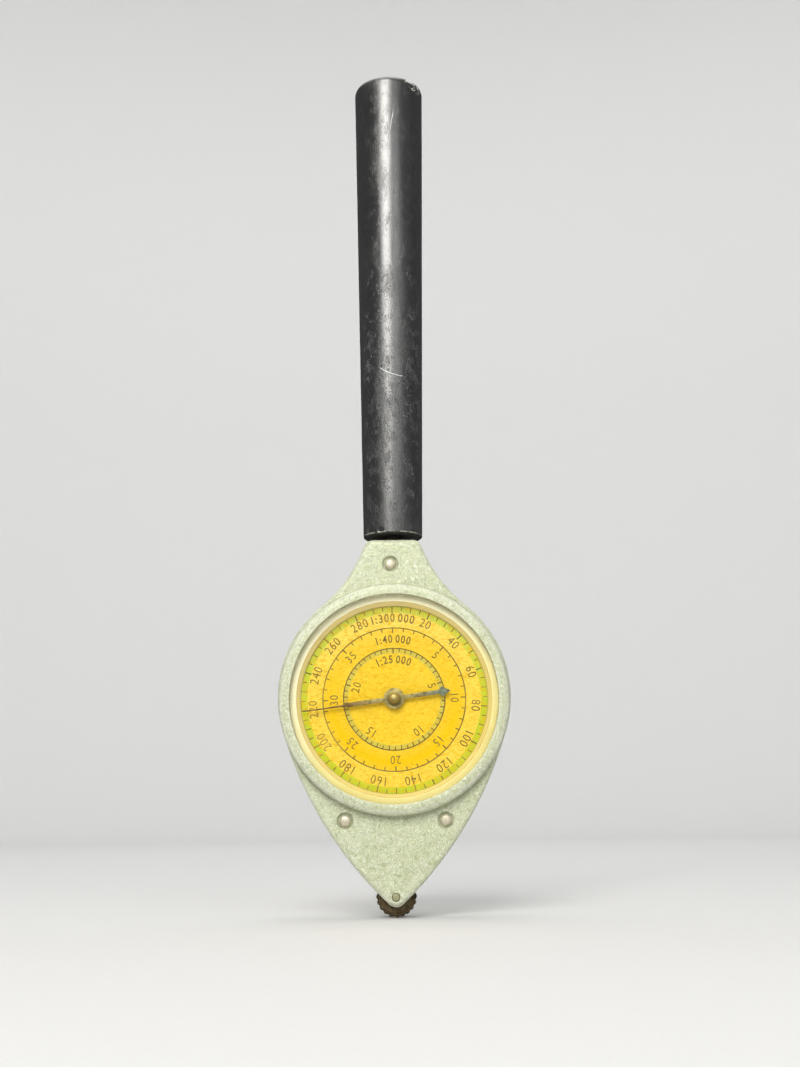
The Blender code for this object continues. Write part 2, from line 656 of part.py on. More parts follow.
def build_pointers(finishes, centre):
    hole = circle(BUSH_NECK + PRESS)
    pointer = prism("pointer", [pointer_outline(), hole], -POINTER_FRONT, -POINTER_BACK)
    bore = CENTRE_ARBOR_RADIUS + PRESS
    back = -DIAL_FRONT - 0.25 * MM
    shoulder = -POINTER_BACK + GAP
    front = -POINTER_FRONT - GAP
    flank = front - 0.15 * MM
    rise = BUSH_RISE - 0.15 * MM
    bush = [(bore, back), (BUSH_SLEEVE, back), (BUSH_SLEEVE, shoulder), (BUSH_NECK, shoulder)]
    bush += [(BUSH_NECK, front), (BUSH_DOME, front)]
    bush += [(BUSH_DOME * cos(a), flank - rise * sin(a)) for a in (0.0, radians(30), radians(60))]
    bush += [(0.0, front - BUSH_RISE), (0.0, -BUSH_BORE_END), (bore, -BUSH_BORE_END)]
    bush_mesh = turned("pointer_bush", bush, ring=True)
    for side, turn in (("front", 0.0), ("rear", pi)):
        for name, mesh, finish in (("pointer", pointer, "blued"), ("pointer_bush", bush_mesh, "brass")):
            made = add(f"{side}_{name}", mesh, finishes[finish], centre)
            made.rotation_mode = "ZYX"
            made.rotation_euler = (0.0, POINTER_REST, turn)


def build_handle(finishes, centre):
    shoulder = HANDLE_SHOULDER
    sleeve = [(0.0, HANDLE_TOP)]
    sleeve += arc((HANDLE_HIGH_RADIUS - shoulder, HANDLE_TOP - shoulder), shoulder, pi / 2, 0.0, 4)
    sleeve += [
        (HANDLE_LOW_RADIUS, HANDLE_BOTTOM + HANDLE_FOOT_EDGE),
        (HANDLE_LOW_RADIUS - HANDLE_FOOT_EDGE, HANDLE_BOTTOM),
        (TANG_RADIUS + GAP, HANDLE_BOTTOM),
        (TANG_RADIUS + GAP, HANDLE_BORE_TOP),
        (0.0, HANDLE_BORE_TOP),
    ]
    mesh = turned("handle_sleeve", sleeve, HANDLE_STEPS, upright=True)
    add("handle_sleeve", mesh, finishes["black"], centre)
    half_x, half_y = TANG_BLOCK
    block_top = NECK_TOP - WALL - GAP
    corners = [(-half_x, TANG_BOTTOM), (half_x, TANG_BOTTOM), (half_x, block_top), (-half_x, block_top)]
    hole = circle(RIVET_SHANK + GAP, RIVET_PLACES["top"])
    block = prism("handle_tang", [corners, hole], -half_y, half_y)
    tang = add("handle_tang", block, finishes["steel"], centre)
    rod_bottom = block_top - TANG_OVERLAP
    rod = [(0.0, TANG_TOP), (TANG_RADIUS, TANG_TOP), (TANG_RADIUS, rod_bottom), (0.0, rod_bottom)]
    combined(tang, [("UNION", turned_cutter("rod", rod, centre, upright=True))])


def main():
    for old in list(bpy.data.objects):
        bpy.data.objects.remove(old)
    finishes = {
        "paint": material("hammertone_paint", (0.56, 0.62, 0.52), 0.1, 0.42),
        "crystal": material("clear_plastic", (0.93, 0.92, 0.82), 0.0, 0.08),
        "cream": material("cream_ring", (0.83, 0.77, 0.50), 0.0, 0.5),
        "dial": material("printed_dial", (0.90, 0.62, 0.12), 0.0, 0.6),
        "nickel": material("nickel", (0.66, 0.62, 0.58), 1.0, 0.28),
        "brass": material("brass", (0.72, 0.52, 0.20), 1.0, 0.32),
        "roller": material("brown_brass", (0.38, 0.24, 0.13), 1.0, 0.45),
        "steel": material("steel", (0.50, 0.50, 0.50), 1.0, 0.35),
        "blued": material("blued_steel", (0.10, 0.09, 0.08), 1.0, 0.35),
        "black": material("black_lacquer", (0.02, 0.02, 0.022), 0.0, 0.2),
    }
    centre = empty("dial_centre", (0.0, 0.0, DIAL_HEIGHT))
    first_axis = empty("first_axis", (0.0, 0.0, FIRST_Z), centre)
    second_axis = empty("second_axis", (0.0, 0.0, SECOND_Z), centre)
    roller_axis = empty("roller_axis", (0.0, 0.0, ROLLER_Z), centre)
    bpy.context.view_layer.update()
    build_case(finishes, centre)
    build_rivets(finishes, centre)
    build_movement(finishes, centre)
    build_axle(finishes, roller_axis)
    build_roller(finishes, roller_axis)
    build_train(finishes, first_axis, second_axis, centre)
    build_pointers(finishes, centre)
    build_handle(finishes, centre)


main()
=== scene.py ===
"""Looks of the map measurer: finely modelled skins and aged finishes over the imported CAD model.

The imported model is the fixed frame. Its visible pieces are built again here at the same sizes, with
rounder edges, printing and wear, and each rides on the CAD body that it belongs to. The movement
inside keeps its CAD pieces and gets its metals here. Sizes are in millimetres until a mesh is made.
"""

from math import cos, pi, radians, sin, sqrt

import bmesh
import bpy
import numpy as np
from mathutils import Euler, Matrix, Vector, noise


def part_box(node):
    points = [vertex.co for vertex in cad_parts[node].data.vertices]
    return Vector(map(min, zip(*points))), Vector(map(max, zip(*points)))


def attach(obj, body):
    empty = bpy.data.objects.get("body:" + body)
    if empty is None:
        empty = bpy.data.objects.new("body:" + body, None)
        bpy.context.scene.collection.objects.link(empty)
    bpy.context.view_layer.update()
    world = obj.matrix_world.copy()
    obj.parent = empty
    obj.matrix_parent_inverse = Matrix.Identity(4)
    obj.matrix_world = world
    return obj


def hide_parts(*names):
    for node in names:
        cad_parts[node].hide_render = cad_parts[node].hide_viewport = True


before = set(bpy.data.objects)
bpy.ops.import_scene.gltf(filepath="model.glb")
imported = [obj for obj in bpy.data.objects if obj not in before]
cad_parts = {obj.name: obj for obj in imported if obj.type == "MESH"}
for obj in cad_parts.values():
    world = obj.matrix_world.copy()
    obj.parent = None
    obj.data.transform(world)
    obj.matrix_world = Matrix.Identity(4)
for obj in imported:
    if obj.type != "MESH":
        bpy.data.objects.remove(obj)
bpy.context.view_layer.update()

MM = 0.001


def box_mm(node):
    low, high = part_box(node)
    return low / MM, high / MM


def middle(node):
    low, high = box_mm(node)
    return (low + high) / 2


# Places and sizes read from the frame
DIAL_Z = middle("front_dial").z
ROLLER_Z = middle("measuring_roller").z - DIAL_Z
ROLLER_RADIUS = (box_mm("measuring_roller")[1].x - box_mm("measuring_roller")[0].x) / 2
ROLLER_HALF = box_mm("measuring_roller")[1].y
DRUM_HALF = -box_mm("front_case")[0].y
PLATE_HALF = box_mm("roller_axle")[1].y
CRYSTAL_FRONT = -box_mm("front_crystal")[0].y
CRYSTAL_BACK = -box_mm("front_crystal")[1].y
STACK_RADIUS = box_mm("front_dial")[1].x
DIAL_FRONT = -box_mm("front_dial")[0].y
DIAL_BACK = -box_mm("front_dial")[1].y
RING_FRONT = -box_mm("front_dial_ring")[0].y
RING_BACK = -box_mm("front_dial_ring")[1].y
POINTER_FRONT = -box_mm("front_pointer")[0].y
POINTER_BACK = -box_mm("front_pointer")[1].y
BUSH_BACK = -box_mm("front_pointer_bush")[1].y
BUSH_FRONT = -box_mm("front_pointer_bush")[0].y
HANDLE_LOW, HANDLE_HIGH = box_mm("handle_sleeve")[0].z - DIAL_Z, box_mm("handle_sleeve")[1].z - DIAL_Z
HANDLE_RADIUS = box_mm("handle_sleeve")[1].x
RIVETS = {
    name: (middle(f"case_rivet_{name}").x, middle(f"case_rivet_{name}").z - DIAL_Z)
    for name in ("top", "left", "right")
}
RIVET_CROWN = box_mm("case_rivet_top")[1].y
RIVET_HEAD = (box_mm("case_rivet_top")[1].x - box_mm("case_rivet_top")[0].x) / 2

# Sizes that the boxes don't show, as in the CAD source
CASE_RADIUS, CASE_RISE = 18.45, 0.55
LOWER_ARC, LOWER_TANGENT = 59.0, radians(-16.4)
NECK_ARC, NECK_TANGENT = 23.6, radians(50.6)
NECK_TOP, NECK_CORNER = 25.7, 0.9
TIP_ROUND = 1.6
PLATE_ROUND, DRUM_RADIUS, DRUM_ROUND = 0.8, 18.15, 1.2
WALL, LIP, DRUM_BORE, WINDOW_RADIUS = 0.8, 0.85, 17.4, 16.4
PARTING = 0.025
SLOT_HALF, SLOT_RADIUS = 3.3, 3.58
RIVET_SINK_RADIUS, RIVET_SINK, RIVET_SHANK = 1.27, 0.42, 0.6
AXLE_HEAD, AXLE_RADIUS = 0.58, 0.42
HEAD_GAP, HEAD_EDGE = 0.05, 0.05
DIAL_OPENING, RING_SHOULDER = 14.75, 15.35
PANE_RADIUS, PANE_BACK = 16.4, 5.35
HANDLE_LOW_RADIUS, HANDLE_BORE, HANDLE_BORE_TOP = 4.85, 1.75, 72.0
HANDLE_SHOULDER, HANDLE_DOME, HANDLE_STEPS = 1.25, 0.12, 256
HANDLE_SIDE = 3.0
POINTER_REST = radians(262.4)
POINTER_REACH, POINTER_TAIL, POINTER_BOSS = 14.6, 8.9, 1.65
ARROW_START, CENTRE_ARBOR = 7.05, 0.62
BUSH_SHANK, BUSH_FOOT, BUSH_REAR = 0.85, 1.05, 4.8
TEETH, TOOTH_DEPTH = 20, 0.23

# The card's coloured rings end at these radii, and the printed rings lie on two of them
YELLOW_END, INNER_RING, MIDDLE_RING, PEACH_END = 7.2, 8.03, 11.3, 13.75
DIAL_TURN = radians(-0.85)
RAMP_REACH = 20.0

# Chips in the handle: angle round it, distance below its top, half angle, half height, depth
CHIPS = [
    (-46.0, 1.0, 13.0, 1.1, 0.34),
    (-28.0, 1.5, 6.0, 1.0, 0.26),
    (-113.0, 81.0, 6.0, 0.35, 0.20),
]

# Long scratches on the front of the handle: height above the floor, slope, bow, ends across it, width
SCRATCHES = [
    (129.2, 6.1, 0.0, -0.1, 0.55, 0.50),
    (87.1, -0.42, 0.10, -2.0, 1.6, 0.13),
]

# The handle's scuffs are strongest up to the first height and weakest from the second
SCUFFED_TO, SMOOTH_FROM = 85.0, 118.0


# Camera, floor and light


def make_camera():
    """Close in front, a little above the floor, looking up, with a slight tilt to one side."""
    pitch, yaw, roll = radians(12.184), radians(-0.579), radians(-0.65)
    place = Vector((0.00334, -0.21456, 0.01472))
    forward = Vector((sin(yaw) * cos(pitch), cos(yaw) * cos(pitch), sin(pitch)))
    right = Vector((cos(yaw), -sin(yaw), 0.0))
    up = right.cross(forward)
    tilted_right = cos(roll) * right + sin(roll) * up
    tilted_up = cos(roll) * up - sin(roll) * right
    data = bpy.data.cameras.new("camera")
    data.sensor_fit = "HORIZONTAL"
    data.lens = 59.8
    data.clip_start = 0.01
    data.clip_end = 20.0
    made = bpy.data.objects.new("camera", data)
    axes = Matrix((tilted_right, tilted_up, -forward)).transposed()
    made.matrix_world = Matrix.Translation(place) @ axes.to_4x4()
    bpy.context.collection.objects.link(made)
    bpy.context.scene.camera = made


def area_light(name, place, target, size, watts, colour):
    data = bpy.data.lights.new(name, "AREA")
    data.shape = "RECTANGLE"
    data.size, data.size_y = size
    data.energy = watts
    data.color = colour
    made = bpy.data.objects.new(name, data)
    made.location = place
    made.rotation_euler = (Vector(target) - Vector(place)).to_track_quat("-Z", "Y").to_euler()
    made.visible_camera = False
    bpy.context.collection.objects.link(made)


def make_lights():
    dial = (0.0, 0.0, DIAL_Z * MM)
    area_light("key", (-0.13, -0.62, 0.45), (0.0, 0.0, 0.07), (0.32, 0.48), 4.8, (1.0, 0.985, 0.94))
    area_light("fill", (0.60, -0.45, 0.30), dial, (0.5, 0.5), 0.12, (1.0, 1.0, 1.0))
    area_light("side", (0.27, -0.62, 0.33), dial, (0.26, 0.26), 0.58, (1.0, 1.0, 1.0))
    area_light("top", (-0.05, -0.02, 0.95), dial, (0.5, 0.5), 1.5, (1.0, 1.0, 1.0))
    area_light("ceiling", (0.0, 0.1, 2.1), (0.0, 0.1, 0.0), (1.6, 1.6), 4.0, (1.0, 1.0, 1.0))
    area_light("backdrop", (0.0, 0.35, 0.95), (0.0, 1.2, 0.35), (1.2, 0.3), 5.0, (1.0, 1.0, 1.0))
    world = bpy.data.worlds.new("studio")
    world.use_nodes = True
    world.node_tree.nodes["Background"].inputs["Color"].default_value = (0.86, 0.87, 0.88, 1.0)
    world.node_tree.nodes["Background"].inputs["Strength"].default_value = 0.19
    bpy.context.scene.world = world
    bpy.context.scene.view_settings.view_transform = "Standard"


# Node building


class Finish:
    """A procedural material under construction, with short calls for the nodes that it needs."""

    def __init__(self, name):
        self.material = bpy.data.materials.new(name)
        self.material.use_nodes = True
        self.tree = self.material.node_tree
        self.shader = self.tree.nodes["Principled BSDF"]
        self.place = self.add("ShaderNodeTexCoord").outputs["Object"]

    def add(self, kind, values=None, **settings):
        made = self.tree.nodes.new(kind)
        for name, value in settings.items():
            setattr(made, name, value)
        for name, value in (values or {}).items():
            self.put(made.inputs[name], value)
        return made

    def put(self, socket, value):
        if isinstance(value, bpy.types.NodeSocket):
            self.tree.links.new(value, socket)
        elif isinstance(value, tuple) and len(value) == 3 and socket.type == "RGBA":
            socket.default_value = (*value, 1.0)
        else:
            socket.default_value = value

    def set(self, **values):
        for name, value in values.items():
            self.put(self.shader.inputs[name.replace("_", " ")], value)

    def math(self, operation, *values, clamp=False):
        made = self.add("ShaderNodeMath", operation=operation, use_clamp=clamp)
        for index, value in enumerate(values):
            self.put(made.inputs[index], value)
        return made.outputs[0]

    def axes(self, vector=None):
        made = self.add("ShaderNodeSeparateXYZ", {"Vector": vector or self.place})
        return made.outputs["X"], made.outputs["Y"], made.outputs["Z"]

    def scaled(self, scale, vector=None):
        made = self.add("ShaderNodeMapping", {"Vector": vector or self.place, "Scale": scale})
        return made.outputs[0]

    def noise(self, size_mm, detail=4.0, rough=0.5, distort=0.0, vector=None, colour=False):
        values = {"Scale": 1 / (size_mm * MM), "Detail": detail, "Roughness": rough, "Distortion": distort}
        values["Vector"] = vector or self.place
        made = self.add("ShaderNodeTexNoise", values)
        return made.outputs["Color" if colour else "Fac"]

    def cells(self, size_mm, vector=None):
        """Distance from the nearest of many scattered points."""
        values = {"Scale": 1 / (size_mm * MM), "Vector": vector or self.place}
        return self.add("ShaderNodeTexVoronoi", values).outputs["Distance"]

    def bent(self, size_mm, amount_mm):
        """The coordinates pushed about by noise."""
        push = self.noise(size_mm, 2.0, colour=True)
        centred = self.add("ShaderNodeVectorMath", operation="SUBTRACT")
        self.put(centred.inputs[0], push)
        centred.inputs[1].default_value = (0.5, 0.5, 0.5)
        pushed = self.add("ShaderNodeVectorMath", operation="MULTIPLY_ADD")
        self.put(pushed.inputs[0], centred.outputs[0])
        pushed.inputs[1].default_value = (2 * amount_mm * MM,) * 3
        self.put(pushed.inputs[2], self.place)
        return pushed.outputs[0]

    def span(self, value, low, high, to_low=0.0, to_high=1.0):
        """The value mapped smoothly from one range to another, held at both ends."""
        values = {"Value": value, "From Min": low, "From Max": high, "To Min": to_low, "To Max": to_high}
        return self.add("ShaderNodeMapRange", values, interpolation_type="SMOOTHSTEP").outputs["Result"]

    def times(self, first, second):
        return self.math("MULTIPLY", first, second)

    def plus(self, first, second):
        return self.math("ADD", first, second)

    def minus(self, first, second):
        return self.math("SUBTRACT", first, second)

    def near(self, value, centre, inner, outer):
        """One where the value is within inner of the centre, falling to nothing at outer."""
        return self.span(self.math("ABSOLUTE", self.math("SUBTRACT", value, centre)), inner, outer, 1.0, 0.0)

    def length(self, first, second):
        square = self.math("ADD", self.math("MULTIPLY", first, first), self.math("MULTIPLY", second, second))
        return self.math("SQRT", square)

    def about(self, height_mm):
        """Across, up and radius about the front-to-back axis at this height above the floor."""
        shifted = self.add("ShaderNodeVectorMath", {0: self.place, 1: (0.0, 0.0, -height_mm * MM)})
        x, _, z = self.axes(shifted.outputs[0])
        return x, z, self.length(x, z)

    def mix(self, share, first, second):
        made = self.add("ShaderNodeMix", data_type="RGBA")
        for name, value in (("Factor", share), ("A", first), ("B", second)):
            usable = (s for s in made.inputs if s.name == name and s.type in ("RGBA", "VALUE") and s.enabled)
            self.put(next(usable), value)
        return next(s for s in made.outputs if s.type == "RGBA")

    def ramp(self, value, stops, interpolation="LINEAR"):
        made = self.add("ShaderNodeValToRGB", {"Fac": value})
        ramp = made.color_ramp
        ramp.interpolation = interpolation
        for index, (position, colour) in enumerate(stops):
            stop = ramp.elements[index] if index < 2 else ramp.elements.new(position)
            stop.position = position
            stop.color = (*colour, 1.0)
        return made.outputs["Color"]

    def attribute(self, name):
        return self.add("ShaderNodeAttribute", attribute_name=name).outputs["Fac"]

    def bump(self, height, depth_mm, strength=1.0, normal=None):
        values = {"Height": height, "Distance": depth_mm * MM, "Strength": strength}
        if normal is not None:
            values["Normal"] = normal
        return self.add("ShaderNodeBump", values).outputs["Normal"]


def hammertone():
    """Pale grey-green hammered paint: broken light ripples over darker hollows, rubbed pale on the edges."""
    f = Finish("hammertone_paint")
    bent = f.bent(0.9, 0.32)
    coarse = f.noise(0.60, 2.0, 0.55, 0.8, bent)
    ripple = f.near(coarse, 0.52, 0.0, 0.045)
    small = f.noise(0.30, 3.0, 0.6, 0.6, bent)
    specks = f.near(small, 0.50, 0.0, 0.045)
    present = f.span(f.noise(0.9, 2.0), 0.40, 0.56)
    light = f.math("MAXIMUM", f.times(ripple, 0.75), f.times(specks, present))
    hollow = f.span(coarse, 0.46, 0.62)
    base = f.mix(hollow, (0.500, 0.540, 0.330), (0.410, 0.455, 0.265))
    base = f.mix(f.times(light, 0.85), base, (0.930, 0.940, 0.810))
    grey = f.span(f.noise(7.0, 3.0), 0.42, 0.72)
    base = f.mix(f.times(grey, 0.20), base, (0.62, 0.66, 0.52))
    chipped = f.noise(0.7, 4.0, 0.65)
    wear = f.times(f.attribute("wear"), f.span(chipped, 0.26, 0.60))
    base = f.mix(f.times(wear, 0.70), base, (0.86, 0.86, 0.72))
    # Painted shade, with some soiling, in the corners, countersinks, slot and window lip that the case marks.
    grime = f.times(f.attribute("grime"), f.span(f.noise(1.4, 3.0), 0.25, 0.7, 0.45, 1.0))
    base = f.mix(f.times(grime, 0.62), base, (0.19, 0.19, 0.09))
    f.set(Base_Color=base, Metallic=0.10, IOR=1.5)
    f.set(Roughness=f.span(f.plus(light, small), 0.3, 1.5, 0.32, 0.46))
    height = f.plus(f.times(light, 0.7), f.times(hollow, -0.8))
    f.set(Normal=f.bump(height, 0.035, 0.9))
    return f.material


def printed_dial():
    """Yellow and orange rings on card, faded and freckled with age, paler towards the top."""
    f = Finish("printed_dial")
    x, z, radius = f.about(DIAL_Z)
    share = f.math("DIVIDE", radius, RAMP_REACH * MM)
    wander = f.math("MULTIPLY_ADD", f.noise(0.5, 2.0), 0.003, -0.0015)
    share = f.plus(share, wander)
    yellow, green_grey = (0.94, 0.665, 0.050), (0.60, 0.56, 0.120)
    orange, peach, green = (0.93, 0.645, 0.045), (0.94, 0.715, 0.110), (0.50, 0.66, 0.050)
    starts = [0.0, YELLOW_END, INNER_RING, MIDDLE_RING, PEACH_END]
    bands = [(start / RAMP_REACH, c) for start, c in zip(starts, (yellow, green_grey, orange, peach, green))]
    base = f.ramp(share, bands, "CONSTANT")
    worn = f.span(f.noise(3.2, 5.0, 0.62, 0.6), 0.42, 0.72)
    base = f.mix(f.times(worn, 0.22), base, (0.92, 0.72, 0.14))
    # Paler towards the top and towards the rim.
    pale = f.times(f.span(z, -2.0 * MM, 15.0 * MM), f.span(radius, 6.0 * MM, 14.0 * MM, 0.25, 1.0))
    base = f.mix(f.times(pale, 0.16), base, (0.93, 0.86, 0.55))
    off, on = (0, 0, 0), (1, 1, 1)
    # Deeper orange towards the bottom, between the inner and middle rings.
    rise = [(0.0, off), (8.1 / RAMP_REACH, off), (10.0 / RAMP_REACH, on), (MIDDLE_RING / RAMP_REACH, off)]
    deep = f.times(f.ramp(share, rise), f.span(z, -10.0 * MM, 10.0 * MM, 1.0, 0.10))
    streaks = f.noise(0.9, 4.0, 0.6, 1.2, f.scaled((1.0, 1.0, 2.2)))
    base = f.mix(f.span(streaks, 0.46, 0.66, 0.0, 0.75), base, (0.80, 0.46, 0.012))
    wisps = f.noise(0.75, 2.0, 0.5, 2.0, f.scaled((0.8, 1.0, 1.6)))
    wisps = f.near(wisps, 0.5, 0.0, 0.03)
    wisps = f.times(wisps, f.span(f.noise(2.2, 2.0), 0.44, 0.56))
    base = f.mix(f.times(wisps, 0.55), base, (0.62, 0.36, 0.01))
    stain = f.span(f.noise(0.7, 4.0, 0.6, 1.2), 0.52, 0.66)
    base = f.mix(f.times(stain, 0.25), base, (0.95, 0.70, 0.05))
    base = f.mix(f.times(deep, 0.96), base, (0.94, 0.60, 0.0))
    fibre = f.noise(0.22, 4.0, 0.7)
    base = f.mix(f.span(fibre, 0.40, 0.65, 0.0, 0.22), base, (0.60, 0.38, 0.01))
    freckle = f.span(f.cells(1.5), 0.05, 0.11, 1.0, 0.0)
    freckle = f.times(freckle, f.span(f.noise(4.0, 1.0), 0.50, 0.62))
    base = f.mix(f.times(freckle, 0.45), base, (0.45, 0.25, 0.03))
    f.set(Base_Color=base, Specular_IOR_Level=0.04)
    f.set(Roughness=f.span(fibre, 0.3, 0.7, 0.55, 0.72))
    f.set(Normal=f.bump(f.plus(fibre, stain), 0.012, 0.6))
    return f.material


def print_ink():
    """Brown printing ink, rubbed thin in places, the more so towards the rim."""
    f = Finish("print_ink")
    _, _, radius = f.about(DIAL_Z)
    thin = f.span(f.noise(0.35, 3.0, 0.7), 0.38, 0.72)
    faded = f.times(f.span(f.noise(5.0, 2.0), 0.40, 0.60), f.span(radius, 8.0 * MM, 13.0 * MM))
    base = f.mix(thin, (0.140, 0.095, 0.016), (0.28, 0.185, 0.028))
    f.set(Base_Color=f.mix(f.times(faded, 0.55), base, (0.52, 0.37, 0.06)))
    f.set(Roughness=f.span(thin, 0.0, 1.0, 0.55, 0.75))
    return f.material


def cream_plastic():
    """The ring round each dial: yellowed, painted paler at its upper left where the light falls, with painted
    shade on its slope and, with some soiling, in its corners.
    """
    f = Finish("cream_plastic")
    cloud = f.noise(4.0, 4.0, 0.6)
    x, z, radius = f.about(DIAL_Z)
    # Painted light: paler at the upper left, where the light falls, so that it is yellower below.
    lit_upper_left = f.span(f.math("MULTIPLY_ADD", x, -0.5, z), -12.0 * MM, 15.0 * MM)
    yellowed = f.mix(f.span(cloud, 0.35, 0.7), (0.90, 0.80, 0.36), (0.94, 0.86, 0.44))
    base = f.mix(lit_upper_left, yellowed, (0.98, 0.97, 0.80))
    # Painted shade: the sloping face inside the shoulder is tinted a darker peach.
    slope = f.span(radius, (RING_SHOULDER - 0.05) * MM, (RING_SHOULDER + 0.05) * MM, 1.0, 0.0)
    base = f.mix(f.times(slope, 0.55), base, (0.92, 0.74, 0.38))
    # Painted shade, with some soiling, along the shoulder and at the foot against the card.
    seam = f.near(radius, RING_SHOULDER * MM, 0.0, 0.07 * MM)
    foot = f.span(radius, (DIAL_OPENING + 0.02) * MM, (DIAL_OPENING + 0.12) * MM, 1.0, 0.0)
    edge_shade_and_soil = f.times(f.math("MAXIMUM", seam, foot), f.span(f.noise(1.2, 3.0), 0.25, 0.6, 0.5, 1.0))
    base = f.mix(f.times(edge_shade_and_soil, 0.75), base, (0.38, 0.24, 0.09))
    speck = f.span(f.noise(0.35, 4.0, 0.7), 0.60, 0.76)
    base = f.mix(f.times(speck, 0.30), base, (0.50, 0.38, 0.15))
    f.set(Base_Color=base, Subsurface_Weight=0.12, Subsurface_Radius=(0.0012, 0.0009, 0.0005))
    f.set(Subsurface_Scale=1.0)
    f.set(Roughness=f.span(cloud, 0.3, 0.7, 0.28, 0.40))
    f.set(Normal=f.bump(f.noise(0.4, 3.0), 0.01, 0.35))
    return f.material


def clear_plastic():
    """A clear window that mirrors at its surface, with fine rub marks that catch the light."""
    f = Finish("clear_plastic")
    tree = f.tree
    streaks = f.scaled((1.0, 1.0, 0.16))
    rubs = f.span(f.noise(0.35, 3.0, 0.7, 0.3, streaks), 0.60, 0.78)
    clear = f.add("ShaderNodeBsdfTransparent", {"Color": (0.985, 0.978, 0.93)})
    gloss = f.add("ShaderNodeBsdfGlossy", {"Roughness": f.span(rubs, 0.0, 1.0, 0.03, 0.28)})
    facing = f.add("ShaderNodeLayerWeight", {"Blend": 0.5}).outputs["Facing"]
    grazing = f.math("MULTIPLY_ADD", f.math("POWER", facing, 5.0), 0.96, 0.022)
    share = f.math("ADD", grazing, f.times(rubs, 0.012), clamp=True)
    mixed = f.add("ShaderNodeMixShader", {0: share, 1: clear.outputs[0], 2: gloss.outputs[0]})
    tree.links.new(mixed.outputs[0], tree.nodes["Material Output"].inputs["Surface"])
    tree.nodes.remove(f.shader)
    return f.material


def metal(name, bright, dull, rough, grain_mm=0.5, tarnish=0.5, spots=0.3, metallic=1.0):
    """Bare metal with clouds of tarnish and a fine grain."""
    f = Finish(name)
    cloud = f.span(f.noise(2.2, 4.0, 0.6, 0.5), 0.36, 0.68)
    base = f.mix(f.times(cloud, tarnish), bright, dull)
    grain = f.noise(grain_mm * 0.4, 3.0, 0.6)
    base = f.mix(f.span(grain, 0.40, 0.75, 0.0, spots), base, tuple(0.45 * c for c in dull))
    # Painted shade where a piece marks it, as round the foot of the hub's dome.
    base = f.mix(f.times(f.attribute("grime"), 0.55), base, tuple(0.35 * c for c in dull))
    f.set(Base_Color=base, Metallic=metallic)
    f.set(Roughness=f.span(f.plus(cloud, grain), 0.3, 1.5, rough * 0.8, rough * 1.35))
    f.set(Normal=f.bump(grain, 0.006, 0.5))
    return f.material


def blued_steel():
    """The hands: blued blades gone brown, bluest at the tail, and a boss of tarnished brass colour."""
    f = Finish("blued_steel")
    cloud = f.span(f.noise(0.9, 4.0, 0.6, 0.5), 0.36, 0.66)
    base = f.mix(cloud, (0.25, 0.150, 0.045), (0.11, 0.068, 0.022))
    base = f.mix(f.attribute("tail"), base, f.mix(cloud, (0.22, 0.27, 0.22), (0.10, 0.14, 0.115)))
    base = f.mix(f.attribute("boss"), base, f.mix(cloud, (0.50, 0.43, 0.19), (0.24, 0.20, 0.08)))
    grain = f.noise(0.18, 3.0, 0.6)
    f.set(Base_Color=base, Metallic=0.30, Specular_IOR_Level=0.35)
    f.set(Roughness=f.span(f.plus(cloud, grain), 0.3, 1.5, 0.40, 0.60))
    f.set(Normal=f.bump(grain, 0.006, 0.5))
    return f.material


def brown_brass():
    """The roller: brass gone brown, with its tooth tips rubbed lighter on the map and painted shade at their
    roots.
    """
    f = Finish("brown_brass")
    _, _, radius = f.about(DIAL_Z + ROLLER_Z)
    cloud = f.span(f.noise(0.9, 4.0, 0.65), 0.34, 0.68)
    base = f.mix(cloud, (0.33, 0.245, 0.13), (0.15, 0.112, 0.06))
    rubbed = f.span(radius, (ROLLER_RADIUS - 0.13) * MM, (ROLLER_RADIUS - 0.01) * MM)
    rubbed = f.times(rubbed, f.span(f.noise(0.3, 2.0), 0.3, 0.6, 0.5, 1.0))
    base = f.mix(f.times(rubbed, 0.95), base, (0.86, 0.74, 0.58))
    # Painted shade: near black at the roots of the teeth and on the chamfer below them.
    under = f.near(radius, (ROLLER_RADIUS - 0.30) * MM, 0.0, 0.14 * MM)
    base = f.mix(f.times(under, 0.6), base, (0.05, 0.035, 0.02))
    grit = f.noise(0.10, 3.0, 0.6)
    f.set(Base_Color=base, Metallic=0.85)
    f.set(Roughness=f.span(f.plus(cloud, grit), 0.4, 1.5, 0.34, 0.62))
    f.set(Normal=f.bump(grit, 0.01, 0.6))
    return f.material


def long_scratch(f, place, wander, height, slope, bow, low_x, high_x, width):
    """A scratch along z = height + slope * x + bow * x * x, in millimetres, on the front of the handle."""
    x, y, z = place
    bowed = f.times(f.times(x, x), bow / MM)
    along = f.plus(f.times(x, slope), bowed)
    line = f.minus(z, f.plus(along, height * MM))
    line = f.math("ABSOLUTE", f.plus(line, f.times(wander, 0.12)))
    line = f.span(line, width * MM * 0.4, width * MM, 1.0, 0.0)
    begins = f.span(x, low_x * MM, (low_x + 0.5) * MM)
    ends = f.span(x, high_x * MM, (high_x + 0.5) * MM, 1.0, 0.0)
    shown = f.times(f.times(begins, ends), f.math("LESS_THAN", y, 0.0))
    return f.times(line, shown)


